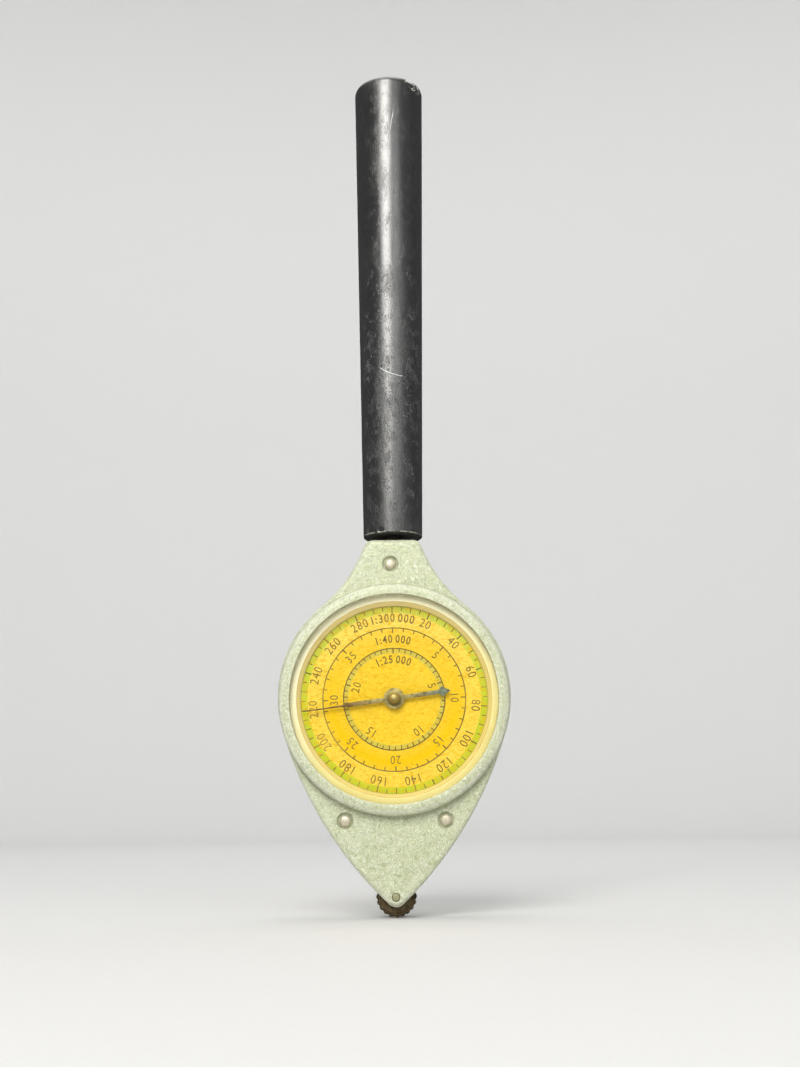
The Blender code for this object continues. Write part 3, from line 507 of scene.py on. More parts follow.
def black_lacquer():
    """Black handle gone half matt, covered in tiny scuffs, with a few long scratches and a chipped rim."""
    f = Finish("black_lacquer")
    scuff_cells = f.cells(0.40, f.scaled((1.0, 1.0, 0.6), f.bent(0.5, 0.25)))
    scuffs = f.span(scuff_cells, 0.12, 0.30, 1.0, 0.0)
    scuffs = f.times(scuffs, f.span(f.noise(0.9, 4.0, 0.7), 0.42, 0.54))
    hairs = f.noise(0.30, 3.0, 0.6, 1.5, f.scaled((1.0, 1.0, 0.12)))
    hairs = f.near(hairs, 0.5, 0.0, 0.025)
    hairs = f.times(hairs, f.span(f.noise(1.6, 3.0), 0.48, 0.60))
    scuffs = f.math("MAXIMUM", scuffs, hairs)
    fine = f.span(f.noise(0.22, 3.0, 0.7, 0.5), 0.48, 0.64)
    worn_patch = f.span(f.noise(4.0, 4.0, 0.6, 0.4, f.scaled((1.0, 1.0, 0.5))), 0.40, 0.66)
    fine = f.times(fine, f.span(worn_patch, 0.0, 1.0, 0.35, 1.0))
    marks = f.math("MAXIMUM", scuffs, f.times(fine, 0.6))
    x, y, z = f.axes()
    lower_half = f.span(z, SCUFFED_TO * MM, SMOOTH_FROM * MM, 1.0, 0.35)
    wander = f.math("MULTIPLY_ADD", f.noise(9.0, 2.0), 3.0 * MM, -1.5 * MM)
    lines = None
    for scratch in SCRATCHES:
        line = long_scratch(f, (x, y, z), wander, *scratch)
        lines = line if lines is None else f.math("MAXIMUM", lines, line)
    showing = f.times(marks, lower_half)
    base = f.mix(f.times(showing, 0.11), (0.005, 0.0055, 0.005), (0.42, 0.45, 0.44))
    base = f.mix(f.times(lines, 0.65), base, (0.66, 0.68, 0.66))
    worn = f.times(f.attribute("wear"), f.span(f.noise(0.7, 4.0, 0.7), 0.42, 0.56))
    base = f.mix(worn, base, (0.62, 0.60, 0.50))
    # Painted shade: near black under the foot and inside the bore.
    base = f.mix(f.attribute("dark"), base, (0.010, 0.009, 0.008))
    edge_on = f.add("ShaderNodeLayerWeight", {"Blend": 0.5}).outputs["Facing"]
    f.set(Base_Color=base, IOR=1.75, Specular_IOR_Level=f.span(edge_on, 0.45, 0.95, 0.85, 0.25))
    rough = f.span(f.plus(worn_patch, f.times(marks, 1.5)), 0.0, 2.2, 0.26, 0.50)
    rough = f.math("MULTIPLY_ADD", lower_half, 0.07, rough)
    f.set(Roughness=f.plus(rough, f.times(f.plus(worn, f.attribute("dark")), 0.35)))
    waves = f.noise(5.0, 2.0, vector=f.scaled((1.0, 1.0, 0.3)))
    wavy = f.bump(waves, 0.05, 0.12)
    f.set(Normal=f.bump(f.plus(showing, lines), -0.020, 1.0, wavy))
    return f.material


def pale_stage():
    """The floor and wall: pale grey, with a faint grain."""
    f = Finish("pale_floor")
    grain = f.noise(0.6, 2.0)
    f.set(Base_Color=f.mix(f.span(grain, 0.3, 0.7), (0.735, 0.735, 0.73), (0.75, 0.75, 0.745)))
    f.set(Roughness=f.span(grain, 0.3, 0.7, 0.70, 0.76))
    return f.material


def make_finishes():
    return {
        "hammertone_paint": hammertone(),
        "clear_plastic": clear_plastic(),
        "cream_plastic": cream_plastic(),
        "printed_dial": printed_dial(),
        "print_ink": print_ink(),
        "nickel": metal(
            "nickel", (0.80, 0.73, 0.56), (0.52, 0.48, 0.32), 0.45, 0.9, tarnish=0.9, spots=0.45,
            metallic=0.45,
        ),
        "brass": metal("brass", (0.78, 0.66, 0.31), (0.56, 0.46, 0.20), 0.44, spots=0.2),
        "dull_brass": metal("dull_brass", (0.62, 0.61, 0.39), (0.45, 0.43, 0.25), 0.52),
        "steel": metal("steel", (0.60, 0.60, 0.59), (0.36, 0.34, 0.31), 0.28, grain_mm=0.4),
        "dark_steel": metal("dark_steel", (0.12, 0.11, 0.10), (0.05, 0.045, 0.04), 0.45),
        "blued_steel": blued_steel(),
        "brown_brass": brown_brass(),
        "black_lacquer": black_lacquer(),
    }


# Mesh building


def new_piece(name, points, faces, finish, sharp=35.0, merge=True):
    """A piece from points in millimetres about the centre of the dial."""
    mesh = bpy.data.meshes.new(name)
    lifted = (np.asarray(points, float) + (0.0, 0.0, DIAL_Z)) * MM
    mesh.from_pydata(lifted.tolist(), [], [tuple(int(i) for i in face) for face in faces])
    shape = bmesh.new()
    shape.from_mesh(mesh)
    if merge:
        bmesh.ops.remove_doubles(shape, verts=shape.verts, dist=1e-7)
    bmesh.ops.recalc_face_normals(shape, faces=shape.faces)
    shape.to_mesh(mesh)
    shape.free()
    mesh.shade_smooth()
    mesh.set_sharp_from_angle(angle=radians(sharp))
    mesh.materials.append(finish)
    made = bpy.data.objects.new(name, mesh)
    bpy.context.collection.objects.link(made)
    return made


def stitched(rings, closed=False):
    """Points and faces of a skin through rings of equal length. Closed joins the last ring to the first."""
    count, steps = len(rings), len(rings[0])
    points = np.concatenate(rings)
    faces = []
    for row in range(count if closed else count - 1):
        after = (row + 1) % count
        for i in range(steps):
            j = (i + 1) % steps
            faces.append((row * steps + i, row * steps + j, after * steps + j, after * steps + i))
    return points, faces


def turned(name, profile, finish, axis="Y", steps=128, centre=(0.0, 0.0), closed=False, sharp=35.0):
    """A turned piece from (radius, distance along the axis) points. centre is (x, z), or (x, y) for Z."""
    angles = np.linspace(0, 2 * pi, steps, endpoint=False)
    rings = []
    for radius, along in profile:
        across, up = radius * np.cos(angles), radius * np.sin(angles)
        line = np.full(steps, along)
        if axis == "Y":
            rings.append(np.stack((across + centre[0], line, up + centre[1]), axis=1))
        else:
            rings.append(np.stack((across + centre[0], up + centre[1], line), axis=1))
    points, faces = stitched(rings, closed)
    return new_piece(name, points, faces, finish, sharp)


def rounded(corners):
    """A profile of (radius, along, rounding) corners, each but the first and last rounded by an arc."""
    out = []
    for i, (x, y, size) in enumerate(corners):
        here = np.array((x, y), float)
        if size <= 0 or i in (0, len(corners) - 1):
            out.append((x, y))
            continue
        before = np.array(corners[i - 1][:2], float)
        after = np.array(corners[i + 1][:2], float)
        to_before = (before - here) / np.linalg.norm(before - here)
        to_after = (after - here) / np.linalg.norm(after - here)
        for t in np.linspace(0, 1, 6):
            out.append(tuple(here + size * ((1 - t) ** 2 * to_before + t**2 * to_after)))
    return out


def cut(piece, tools):
    """Takes the tools out of the piece in one exact Boolean, and removes them."""
    group = bpy.data.collections.new("tools")
    for tool in tools:
        group.objects.link(tool)
    step = piece.modifiers.new("cut", "BOOLEAN")
    step.operand_type = "COLLECTION"
    step.collection = group
    step.solver = "EXACT"
    graph = bpy.context.evaluated_depsgraph_get()
    mesh = bpy.data.meshes.new_from_object(piece.evaluated_get(graph))
    piece.modifiers.clear()
    piece.data = mesh
    for tool in tools:
        bpy.data.objects.remove(tool)
    bpy.data.collections.remove(group)


def attribute(piece, name, values):
    """One number for each point of the piece, which its finish reads by name."""
    made = piece.data.attributes.new(name, "FLOAT", "POINT")
    made.data.foreach_set("value", np.asarray(values, np.float32))


def places(piece):
    """The piece's points in millimetres about the centre of the dial."""
    flat = np.zeros(len(piece.data.vertices) * 3, np.float32)
    piece.data.vertices.foreach_get("co", flat)
    return flat.reshape(-1, 3).astype(float) / MM - (0.0, 0.0, DIAL_Z)


def turned_copy(piece, name):
    """The same mesh turned half a turn about the upright axis, for the rear of the measurer."""
    mesh = piece.data.copy()
    mesh.transform(Matrix.Rotation(pi, 4, "Z"))
    made = bpy.data.objects.new(name, mesh)
    bpy.context.collection.objects.link(made)
    return made


def belongs(piece, body, slot, *nodes):
    """The body that the piece rides on, its material slot, which is not used, and the CAD nodes that it
    stands in for, which it hides.
    """
    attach(piece, body)
    if nodes:
        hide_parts(*nodes)


# Case


def case_depth(x, z):
    """How far points lie inside the case's outline."""
    x = np.abs(x)
    rise = z - CASE_RISE
    angle = np.arctan2(rise, x)

    def from_centre(reach, turn):
        return reach * cos(turn), reach * sin(turn)

    low = from_centre(CASE_RADIUS - LOWER_ARC, LOWER_TANGENT)
    neck = from_centre(CASE_RADIUS + NECK_ARC, NECK_TANGENT)
    depth = CASE_RADIUS - np.hypot(x, rise)
    lower = LOWER_ARC - np.hypot(x - low[0], rise - low[1])
    tip_drop = sqrt((LOWER_ARC - TIP_ROUND) ** 2 - low[0] ** 2)
    tip_z = low[1] - tip_drop
    in_tip = (rise < tip_z) & (x * tip_drop < (tip_z - rise) * -low[0])
    lower = np.where(in_tip, TIP_ROUND - np.hypot(x, rise - tip_z), lower)
    hollow = np.hypot(x - neck[0], rise - neck[1]) - NECK_ARC
    top = NECK_TOP - z
    near_corner = (hollow < NECK_CORNER) & (top < NECK_CORNER)
    corner = NECK_CORNER - np.hypot(NECK_CORNER - hollow, NECK_CORNER - top)
    hollow = np.where(near_corner, corner, np.minimum(hollow, top))
    depth = np.where(angle < LOWER_TANGENT, lower, depth)
    return np.where(angle > NECK_TANGENT, hollow, depth)


def outline_reach(angles, inset):
    """Distance from the centre of the dial to the outline moved inwards, along each angle."""
    near, far = np.full(len(angles), 12.0), np.full(len(angles), 40.0)
    for _ in range(40):
        half = (near + far) / 2
        inside = case_depth(half * np.cos(angles), half * np.sin(angles)) > inset
        near, far = np.where(inside, half, near), np.where(inside, far, half)
    return (near + far) / 2


def plate_height(x, z):
    """Height of the flat plate and its rounded edge, above the middle of the case."""
    edge = np.clip(PLATE_ROUND - case_depth(x, z), 0, PLATE_ROUND)
    return PLATE_HALF - PLATE_ROUND + np.sqrt(PLATE_ROUND**2 - edge**2)


def case_rings(angles):
    """The half case's section, swept round the dial: out over the drum and the plate, and back inside."""
    across, up = np.cos(angles), np.sin(angles)
    reach = outline_reach(angles, 0.0)
    inner = outline_reach(angles, WALL)
    ledge = reach - DRUM_RADIUS
    fillet = np.minimum(0.5, 0.8 * ledge)
    rings = []

    def ring(radius, height):
        rings.append(np.stack((radius * across, -height + 0 * across, radius * up), axis=1))

    ring(WINDOW_RADIUS, DRUM_HALF - LIP)
    mouth = [(WINDOW_RADIUS, DRUM_HALF - LIP, 0), (WINDOW_RADIUS, DRUM_HALF, 0.14)]
    mouth.append((WINDOW_RADIUS + 0.5, DRUM_HALF, 0))
    for radius, height in rounded(mouth)[1:]:
        ring(radius, height)
    start = DRUM_RADIUS - DRUM_ROUND
    for turn in np.linspace(0, pi / 2, 14):
        ring(start + DRUM_ROUND * sin(turn), DRUM_HALF - DRUM_ROUND + DRUM_ROUND * cos(turn))
    foot = plate_height(DRUM_RADIUS * across, DRUM_RADIUS * up) + fillet
    for share in (0.35, 0.7, 1.0):
        ring(DRUM_RADIUS, (1 - share) * (DRUM_HALF - DRUM_ROUND) + share * foot)
    for share in np.linspace(0, 1, 44)[1:]:
        radius = DRUM_RADIUS + ledge * (1 - cos(pi * share)) / 2
        beyond = np.clip(fillet - (radius - DRUM_RADIUS), 0, None)
        sweep = fillet - np.sqrt(np.maximum(fillet**2 - beyond**2, 0))
        ring(radius, plate_height(radius * across, radius * up) + sweep)
    ring(reach, 2.0)
    ring(reach, 0.16)
    ring(reach - 0.10, PARTING)
    ring(inner, PARTING)
    ring(inner, PLATE_HALF - WALL)
    ring(DRUM_BORE, PLATE_HALF - WALL)
    ring(DRUM_BORE, DRUM_HALF - LIP)
    return rings


def hole_tool(name, x, z, shank, sink, finish):
    """Cuts a hole with a countersink whose rim rolls over softly."""
    face, bottom, clear = -PLATE_HALF, -PLATE_HALF + RIVET_SINK, 1.0
    profile = [(0.0, face - clear), (sink + 0.22, face - clear), (sink + 0.22, face - 0.02)]
    profile += [(sink + 0.10, face + 0.015), (sink + 0.02, face + 0.07), (sink, face + 0.16)]
    profile += [(sink - 0.05, bottom), (shank, bottom), (shank, clear), (0.0, clear)]
    return turned(name, profile, finish, steps=48, centre=(x, z))


def build_case(finishes):
    """The front half case with its slot and holes, and its mirror image behind."""
    paint = finishes["hammertone_paint"]
    tip = -pi / 2
    spread = np.linspace(-1, 1, 760, endpoint=False)
    angles = tip + pi * (0.55 * spread + 0.45 * spread**3)
    points, faces = stitched(case_rings(angles), closed=True)
    front = new_piece("front_case_shell", points, faces, paint)
    slot = [(0.0, -SLOT_HALF), (SLOT_RADIUS, -SLOT_HALF), (SLOT_RADIUS, 1.0), (0.0, 1.0)]
    tools = [turned("slot", slot, paint, steps=72, centre=(0.0, ROLLER_Z))]
    low, high = NECK_TOP - 3, NECK_TOP + 1
    tang = [(0.0, low), (HANDLE_BORE, low), (HANDLE_BORE, high), (0.0, high)]
    tools.append(turned("tang_hole", tang, paint, "Z", 48))
    for name, (x, z) in RIVETS.items():
        tools.append(hole_tool(f"hole_{name}", x, z, RIVET_SHANK + 0.05, RIVET_SINK_RADIUS, paint))
    tools.append(hole_tool("axle_hole", 0.0, ROLLER_Z, AXLE_RADIUS, AXLE_HEAD + 0.05, paint))
    cut(front, tools)
    mark_case(front)
    front.data.set_sharp_from_angle(angle=radians(35))
    rear_mesh = front.data.copy()
    rear_mesh.transform(Matrix.Scale(-1, 4, (0, 1, 0)))
    rear_mesh.flip_normals()
    rear = bpy.data.objects.new("rear_case_shell", rear_mesh)
    bpy.context.collection.objects.link(rear)
    belongs(front, "case", "hammertone_paint", "front_case")
    belongs(rear, "case", "hammertone_paint", "rear_case")


def mark_case(piece):
    """Paint rubbed off the rounded edges and above all the tip, and painted shade, with some soiling, in the
    corners, countersinks, slot and round the window's lip.
    """
    x, y, z = places(piece).T
    height = np.abs(y)
    depth = case_depth(x, z)
    radius = np.hypot(x, z)
    edge = np.exp(-np.clip(depth, 0, None) / 0.32) * (height > 2.0)
    tip = np.clip((-z - 27.0) / 5.0, 0, 1) * np.exp(-np.clip(depth, 0, None) / 0.7)
    rim = np.exp(-((radius - (DRUM_RADIUS - 0.40)) / 0.35) ** 2) * (height > DRUM_HALF - 0.9)
    lip = np.exp(-((radius - WINDOW_RADIUS - 0.08) / 0.10) ** 2) * (height > DRUM_HALF - 0.3)
    attribute(piece, "wear", np.clip(edge * 0.8 + tip + rim * 0.75 + lip * 0.4, 0, 1))
    # Painted shade, with some soiling, in the corner at the drum's foot, in the countersinks, inside the slot
    # and on the window's lip.
    corner = np.exp(-np.abs(radius - DRUM_RADIUS - 0.12) / 0.22) * (height < PLATE_HALF + 0.6) * (depth > 0.5)
    sinks = np.zeros(len(x))
    for rivet_x, rivet_z in [*RIVETS.values(), (0.0, ROLLER_Z)]:
        from_rivet = np.hypot(x - rivet_x, z - rivet_z)
        sinks = np.maximum(sinks, (from_rivet < RIVET_SINK_RADIUS - 0.02) * (height < PLATE_HALF - 0.10))
    inside = (height < SLOT_HALF + 0.05) & (depth > 0.3)
    bezel = 0.6 * (np.abs(radius - WINDOW_RADIUS) < 0.03) * (height > DRUM_HALF - LIP - 0.05)
    attribute(piece, "grime", np.clip(corner + sinks + 0.8 * inside + bezel, 0, 1))


def build_rivets(finishes):
    """Domed heads in their countersinks at both ends of a shank that runs through the case."""
    seat = PLATE_HALF - RIVET_SINK + HEAD_GAP
    dome = RIVET_CROWN - seat
    half = [(RIVET_SHANK, 0.0), (RIVET_SHANK, seat), (RIVET_HEAD, seat)]
    for turn in np.linspace(0, pi / 2, 12):
        half.append((RIVET_HEAD * cos(turn) ** 0.75, seat + HEAD_EDGE + (dome - HEAD_EDGE) * sin(turn)))
    profile = [(r, -y) for r, y in reversed(half)] + half
    for name, (x, z) in RIVETS.items():
        piece = turned(f"rivet_{name}", profile, finishes["nickel"], steps=64, centre=(x, z))
        belongs(piece, "case", "nickel", f"case_rivet_{name}")


def build_axle(finishes):
    """The roller's axle, with flat heads that lie nearly flush with the case."""
    seat = PLATE_HALF - RIVET_SINK + HEAD_GAP
    half = [(AXLE_RADIUS, 0.0), (AXLE_RADIUS, seat)]
    under = [(AXLE_RADIUS, seat, 0), (AXLE_HEAD, seat, 0.03), (AXLE_HEAD, PLATE_HALF - 0.04, 0.08)]
    half += rounded(under)[1:]
    crown = [(AXLE_HEAD, PLATE_HALF - 0.2, 0), (AXLE_HEAD, PLATE_HALF - 0.02, 0.1), (0.0, PLATE_HALF, 0)]
    half += rounded(crown)[1:]
    profile = [(r, -y) for r, y in reversed(half)] + half
    piece = turned("axle", profile, finishes["dull_brass"], steps=64, centre=(0.0, ROLLER_Z))
    belongs(piece, "case", "brass", "roller_axle")


# Window, ring and dial


def build_windows(finishes):
    """Window, ring and card of the front face, and the same turned half a turn for the rear."""
    flats = (0.0, 4.0, 8.0, 12.0, 15.0, 16.0)
    front, flange, edge = CRYSTAL_FRONT, DRUM_HALF - LIP - 0.05, WINDOW_RADIUS - 0.1
    rim = [
        (16.05, -front, 0),
        (edge, -front, 0.10),
        (edge, -flange, 0),
        (STACK_RADIUS, -flange, 0.04),
        (STACK_RADIUS, -CRYSTAL_BACK, 0.04),
        (PANE_RADIUS, -CRYSTAL_BACK, 0.04),
        (PANE_RADIUS, -PANE_BACK, 0.04),
        (16.2, -PANE_BACK, 0),
    ]
    crystal = [(r, -front) for r in flats] + rounded(rim) + [(r, -PANE_BACK) for r in reversed(flats)]
    section = [
        (DIAL_OPENING, -RING_BACK, 0),
        (DIAL_OPENING + 0.02, -RING_BACK - 0.12, 0.03),
        (RING_SHOULDER, -RING_FRONT, 0.09),
        (STACK_RADIUS, -RING_FRONT, 0.05),
        (STACK_RADIUS, -RING_BACK, 0),
    ]
    ring = [(DIAL_OPENING + 0.06, -RING_BACK)] + rounded(section)
    card_hole = 1.0
    disc = [(r, -DIAL_FRONT) for r in (card_hole, 4.0, 8.0, 12.0, 15.0, STACK_RADIUS)]
    disc += [(STACK_RADIUS, -DIAL_BACK), (card_hole, -DIAL_BACK)]
    clear, cream, printed = (finishes[name] for name in ("clear_plastic", "cream_plastic", "printed_dial"))
    made = {
        "crystal": (turned("front_window", crystal, clear, steps=192), "clear_plastic"),
        "dial_ring": (turned("front_ring", ring, cream, steps=192, closed=True), "cream_plastic"),
        "dial": (turned("front_card", disc, printed, steps=128, closed=True), "printed_dial"),
    }
    for node, (front_piece, slot) in made.items():
        rear_piece = turned_copy(front_piece, front_piece.name.replace("front", "rear"))
        belongs(front_piece, "case", slot, f"front_{node}")
        belongs(rear_piece, "case", slot, f"rear_{node}")


class Printing:
    """Thin raised ink on one dial: rings, strokes and figures, gathered into one mesh."""

    INK, GAP = 0.012, 0.002

    def __init__(self, turn, figures):
        self.points, self.faces, self.turn, self.figures = [], [], turn, figures

    def put(self, points, faces):
        """Points are (across, depth, up) with depth 0 on the card and 1 on top of the ink."""
        start = len(self.points)
        for across, depth, up in points:
            self.points.append((across, -DIAL_FRONT - self.GAP - depth * self.INK, up))
        self.faces += [tuple(start + i for i in face) for face in faces]

    def ring(self, radius, width, steps=180):
        inner, outer = radius - width / 2, radius + width / 2
        turns = [2 * pi * i / steps for i in range(steps)]
        rows = []
        for r, depth in ((inner, 0), (inner, 1), (outer, 1), (outer, 0)):
            rows.append(np.array([(r * cos(turn), depth, r * sin(turn)) for turn in turns]))
        self.put(*stitched(rows, closed=True))

    def stroke(self, angle, inner, outer, width):
        """A scale mark. The angle is clockwise from the top of the scale."""
        a = pi / 2 - angle - self.turn
        along, side = np.array((cos(a), sin(a))), np.array((-sin(a), cos(a))) * width / 2
        corners = [inner * along - side, outer * along - side, outer * along + side, inner * along + side]
        points = [(c[0], depth, c[1]) for depth in (0, 1) for c in corners]
        self.put(points, [(0, 1, 2, 3), (4, 7, 6, 5), (0, 4, 5, 1), (1, 5, 6, 2), (2, 6, 7, 3), (3, 7, 4, 0)])

    def text(self, words, angle, radius, height, squeeze):
        """Figures set round an arc, upright when seen from outside their ring. The middle is at the angle."""
        widths = [self.figures[c][2] * height * squeeze for c in words]
        at = -sum(widths) / 2
        for character, width in zip(words, widths):
            points, faces, advance = self.figures[character]
            middle_angle = angle + (at + width / 2) / radius
            a = pi / 2 - middle_angle - self.turn
            outward, along = np.array((cos(a), sin(a))), np.array((sin(a), -cos(a)))
            placed = []
            for x, y, depth in points:
                spot = (radius + (y - 0.5) * height) * outward + (x - advance / 2) * height * squeeze * along
                placed.append((spot[0], depth, spot[1]))
            self.put(placed, faces)
            at += width


def figure_meshes(characters, weight):
    """Each figure as points, faces and advance, for a figure height of one."""
    made = {}
    for character in characters:
        curve = bpy.data.curves.new("figure", "FONT")
        curve.body = character
        curve.size = 1.0
        curve.offset = weight
        curve.extrude = 0.5
        curve.resolution_u = 3
        holder = bpy.data.objects.new("figure", curve)
        bpy.context.collection.objects.link(holder)
        bpy.context.view_layer.update()
        mesh = holder.to_mesh()
        points = np.array([v.co[:] for v in mesh.vertices]) if len(mesh.vertices) else np.zeros((0, 3))
        faces = [tuple(p.vertices) for p in mesh.polygons]
        made[character] = (points, faces)
        holder.to_mesh_clear()
        bpy.data.objects.remove(holder)
    tall = made["0"][0][:, 1]
    low, high = tall.min(), tall.max()
    wide = np.ptp(made["0"][0][:, 0]) / (high - low)
    scaled = {}
    for character, (points, faces) in made.items():
        if not len(points):
            scaled[character] = (points, faces, 0.45 * wide)
            continue
        points = points.copy()
        points[:, 1] = (points[:, 1] - low) / (high - low)
        points[:, 0] = (points[:, 0] - points[:, 0].min()) / (high - low)
        points[:, 2] += 0.5
        share = {"1": 0.80, ":": 0.42}.get(character, 1.0)
        advance = wide * share + 0.20
        points[:, 0] += (advance - np.ptp(points[:, 0])) / 2
        scaled[character] = (points, faces, advance)
    return scaled


# Each ring of marks: their outer radius and two lengths, then radius and height of its figures
OUTER_MARKS = {"marks": (14.7, 0.62, 0.98), "figures": (12.95, 1.40)}
MIDDLE_MARKS = {"marks": (11.28, 0.58, 0.80), "figures": (9.55, 1.30)}
INNER_MARKS = {"marks": (8.02, 0.52, 0.80), "figures": (6.30, 1.30)}

# One row per scale: figures on it, the step between them, long marks in a turn, marks from each to the next
SCALES = {
    "front": [
        {"name": "1:300 000", "count": 14, "step": 20, "whole": 15, "minor": 4, **OUTER_MARKS},
        {"name": "1:40 000", "count": 7, "step": 5, "whole": 8, "minor": 5, **MIDDLE_MARKS},
        {"name": "1:25 000", "count": 4, "step": 5, "whole": 5, "minor": 10, **INNER_MARKS},
    ],
    "rear": [
        {"name": "1:200 000", "count": 9, "step": 20, "whole": 10, "minor": 8, **OUTER_MARKS},
        {"name": "1:100 000", "count": 9, "step": 10, "whole": 10, "minor": 5, **MIDDLE_MARKS},
        {"name": "1:50 000", "count": 4, "step": 10, "whole": 5, "minor": 10, **INNER_MARKS},
    ],
}
LONG_MARK, SHORT_MARK, RING_LINE = 0.20, 0.16, 0.17
FIGURE_SQUEEZE, NAME_SQUEEZE = 0.86, 0.80


def build_printing(finishes):
    """Marks, figures and ring lines of both dials. The rear scales run the other way round."""
    figures = figure_meshes("0123456789: ", 0.0)
    bold = figure_meshes("0123456789: ", 0.018)
    for side, way in (("front", 1), ("rear", -1)):
        ink = Printing(DIAL_TURN, figures)
        for scale in SCALES[side]:
            outer, short, long = scale["marks"]
            radius, height = scale["figures"]
            minor = scale["minor"]
            for i in range(scale["whole"] * minor):
                main_mark = i % minor == 0
                length = long if main_mark else short
                if minor % 2 == 0 and i % 2 == 0 and not main_mark:
                    length = (short + long) / 2
                angle = way * 2 * pi * i / (scale["whole"] * minor)
                ink.stroke(angle, outer - length, outer, LONG_MARK if main_mark else SHORT_MARK)
            for i in range(1, scale["count"] + 1):
                angle = way * 2 * pi * i / scale["whole"]
                ink.text(str(i * scale["step"]), angle, radius, height, FIGURE_SQUEEZE)
            ink.figures = bold
            ink.text(scale["name"], 0.0, radius, height, NAME_SQUEEZE)
            ink.figures = figures
        for radius in (INNER_RING, MIDDLE_RING):
            ink.ring(radius, RING_LINE)
        piece = new_piece(f"{side}_scales", ink.points, ink.faces, finishes["print_ink"])
        if side == "rear":
            piece.data.transform(Matrix.Rotation(pi, 4, "Z"))
        belongs(piece, "case", "printed_dial")


# Pointers


def blade(stations):
    """A ridged bar through (distance from the centre, half width) stations, closed at both ends."""
    rings = []
    for along, half in stations:
        flank = POINTER_FRONT - min(0.05, 0.3 * half)
        right = [(half, flank), (half, POINTER_BACK)]
        section = [(-half, POINTER_BACK), (-half, flank), (0.0, POINTER_FRONT), *right]
        rings.append(np.array([(x, -y, along) for x, y in section]))
    points, faces = stitched(rings)
    last = len(points) - len(rings[0])
    return points, faces + [tuple(range(5)), tuple(last + i for i in range(5))]


def build_pointers(finishes):
    """A ridged hand with an arrowhead at its tail and a flat boss, and a domed bush through the boss."""
    hand = [(1.2, 0.36), (7.5, 0.36), (7.9, 0.24), (8.3, 0.16), (POINTER_REACH, 0.05)]
    tail = [(-1.2, 0.34), (-7.1, 0.34), (-7.3, 0.46), (-7.55, 0.76), (-7.86, 0.66), (-POINTER_TAIL, 0.06)]
    boss = [(0.88, -POINTER_BACK), (0.88, -POINTER_FRONT), (POINTER_BOSS - 0.12, -POINTER_FRONT)]
    boss += [(POINTER_BOSS - 0.02, -POINTER_FRONT + 0.04), (POINTER_BOSS, -POINTER_FRONT + 0.12)]
    boss.append((POINTER_BOSS, -POINTER_BACK))
    angles = np.linspace(0, 2 * pi, 96, endpoint=False)
    rings = [np.stack((r * np.cos(angles), 0 * angles + y, r * np.sin(angles)), axis=1) for r, y in boss]
    points, faces = np.zeros((0, 3)), []
    for part, part_faces in (blade(hand), blade(tail), stitched(rings, closed=True)):
        faces += [tuple(len(points) + i for i in face) for face in part_faces]
        points = np.concatenate((points, part))
    boss_share = (np.hypot(points[:, 0], points[:, 2]) < POINTER_BOSS + 0.05).astype(float)
    tail_share = (points[:, 2] < -ARROW_START).astype(float)
    swing = np.array(Euler((0.0, POINTER_REST, 0.0)).to_matrix())
    front_hand = new_piece("front_hand", points @ swing.T, faces, finishes["blued_steel"], 25, merge=False)
    attribute(front_hand, "boss", boss_share)
    attribute(front_hand, "tail", tail_share)
    neck_front = POINTER_FRONT + 0.05
    bush = [(CENTRE_ARBOR, -BUSH_BACK), (BUSH_FOOT, -BUSH_BACK), (BUSH_FOOT, -POINTER_BACK + 0.05)]
    bush += [(BUSH_SHANK, -POINTER_BACK + 0.05), (BUSH_SHANK, -neck_front)]
    bush += [(1.16, -neck_front), (1.2, -neck_front - 0.04)]
    bush += [(1.17, -neck_front - 0.09), (0.84, -neck_front - 0.18), (0.76, -neck_front - 0.24)]
    dome = BUSH_FRONT - neck_front - 0.26
    for turn in np.linspace(0.15, pi / 2, 14):
        bush.append((0.74 * cos(turn), -neck_front - 0.26 - dome * sin(turn)))
    bush += [(0.0, -BUSH_REAR), (CENTRE_ARBOR, -BUSH_REAR)]
    hub = turned("front_hub", bush, finishes["brass"], steps=96, closed=True)
    x, _, z = places(hub).T
    # Painted shade on the hub outside its dome.
    attribute(hub, "grime", np.clip((np.hypot(x, z) - 0.72) / 0.10, 0, 1))
    for piece, node, slot in ((front_hand, "pointer", "blued_steel"), (hub, "pointer_bush", "brass")):
        rear = turned_copy(piece, piece.name.replace("front", "rear"))
        belongs(piece, "pointers", slot, f"front_{node}")
        belongs(rear, "pointers", slot, f"rear_{node}")


# Roller


def build_roller(finishes):
    """Twenty rounded teeth over a turned disc, with its sides cut back between rim and hub."""
    valley = ROLLER_RADIUS - TOOTH_DEPTH
    steps = TEETH * 16
    angles = np.linspace(0, 2 * pi, steps, endpoint=False)
    wave = 0.5 + 0.5 * np.cos(TEETH * (angles + pi / 2))
    tooth = valley + (ROLLER_RADIUS - valley) * wave**0.62
    section = [(0.77, -1.0, 0), (1.45, -1.0, 0), (1.6, -0.86, 0), (2.5, -0.86, 0), (2.62, -1.0, 0)]
    section += [(0.905, -1.0, 1), (0.955, -0.93, 1), (1.0, -0.74, 1), (1.0, 0.0, 1)]
    section += [(r, -y, k) for r, y, k in reversed(section[:-1])]
    rings = []
    for radius, along, toothed in section:
        reach = tooth * radius if toothed else np.full(steps, radius)
        up = reach * np.sin(angles) + ROLLER_Z
        rings.append(np.stack((reach * np.cos(angles), np.full(steps, along * ROLLER_HALF), up), axis=1))
    points, faces = stitched(rings, closed=True)
    piece = new_piece("toothed_roller", points, faces, finishes["brown_brass"], 40)
    belongs(piece, "roller", "brown_brass", "measuring_roller")


# Handle


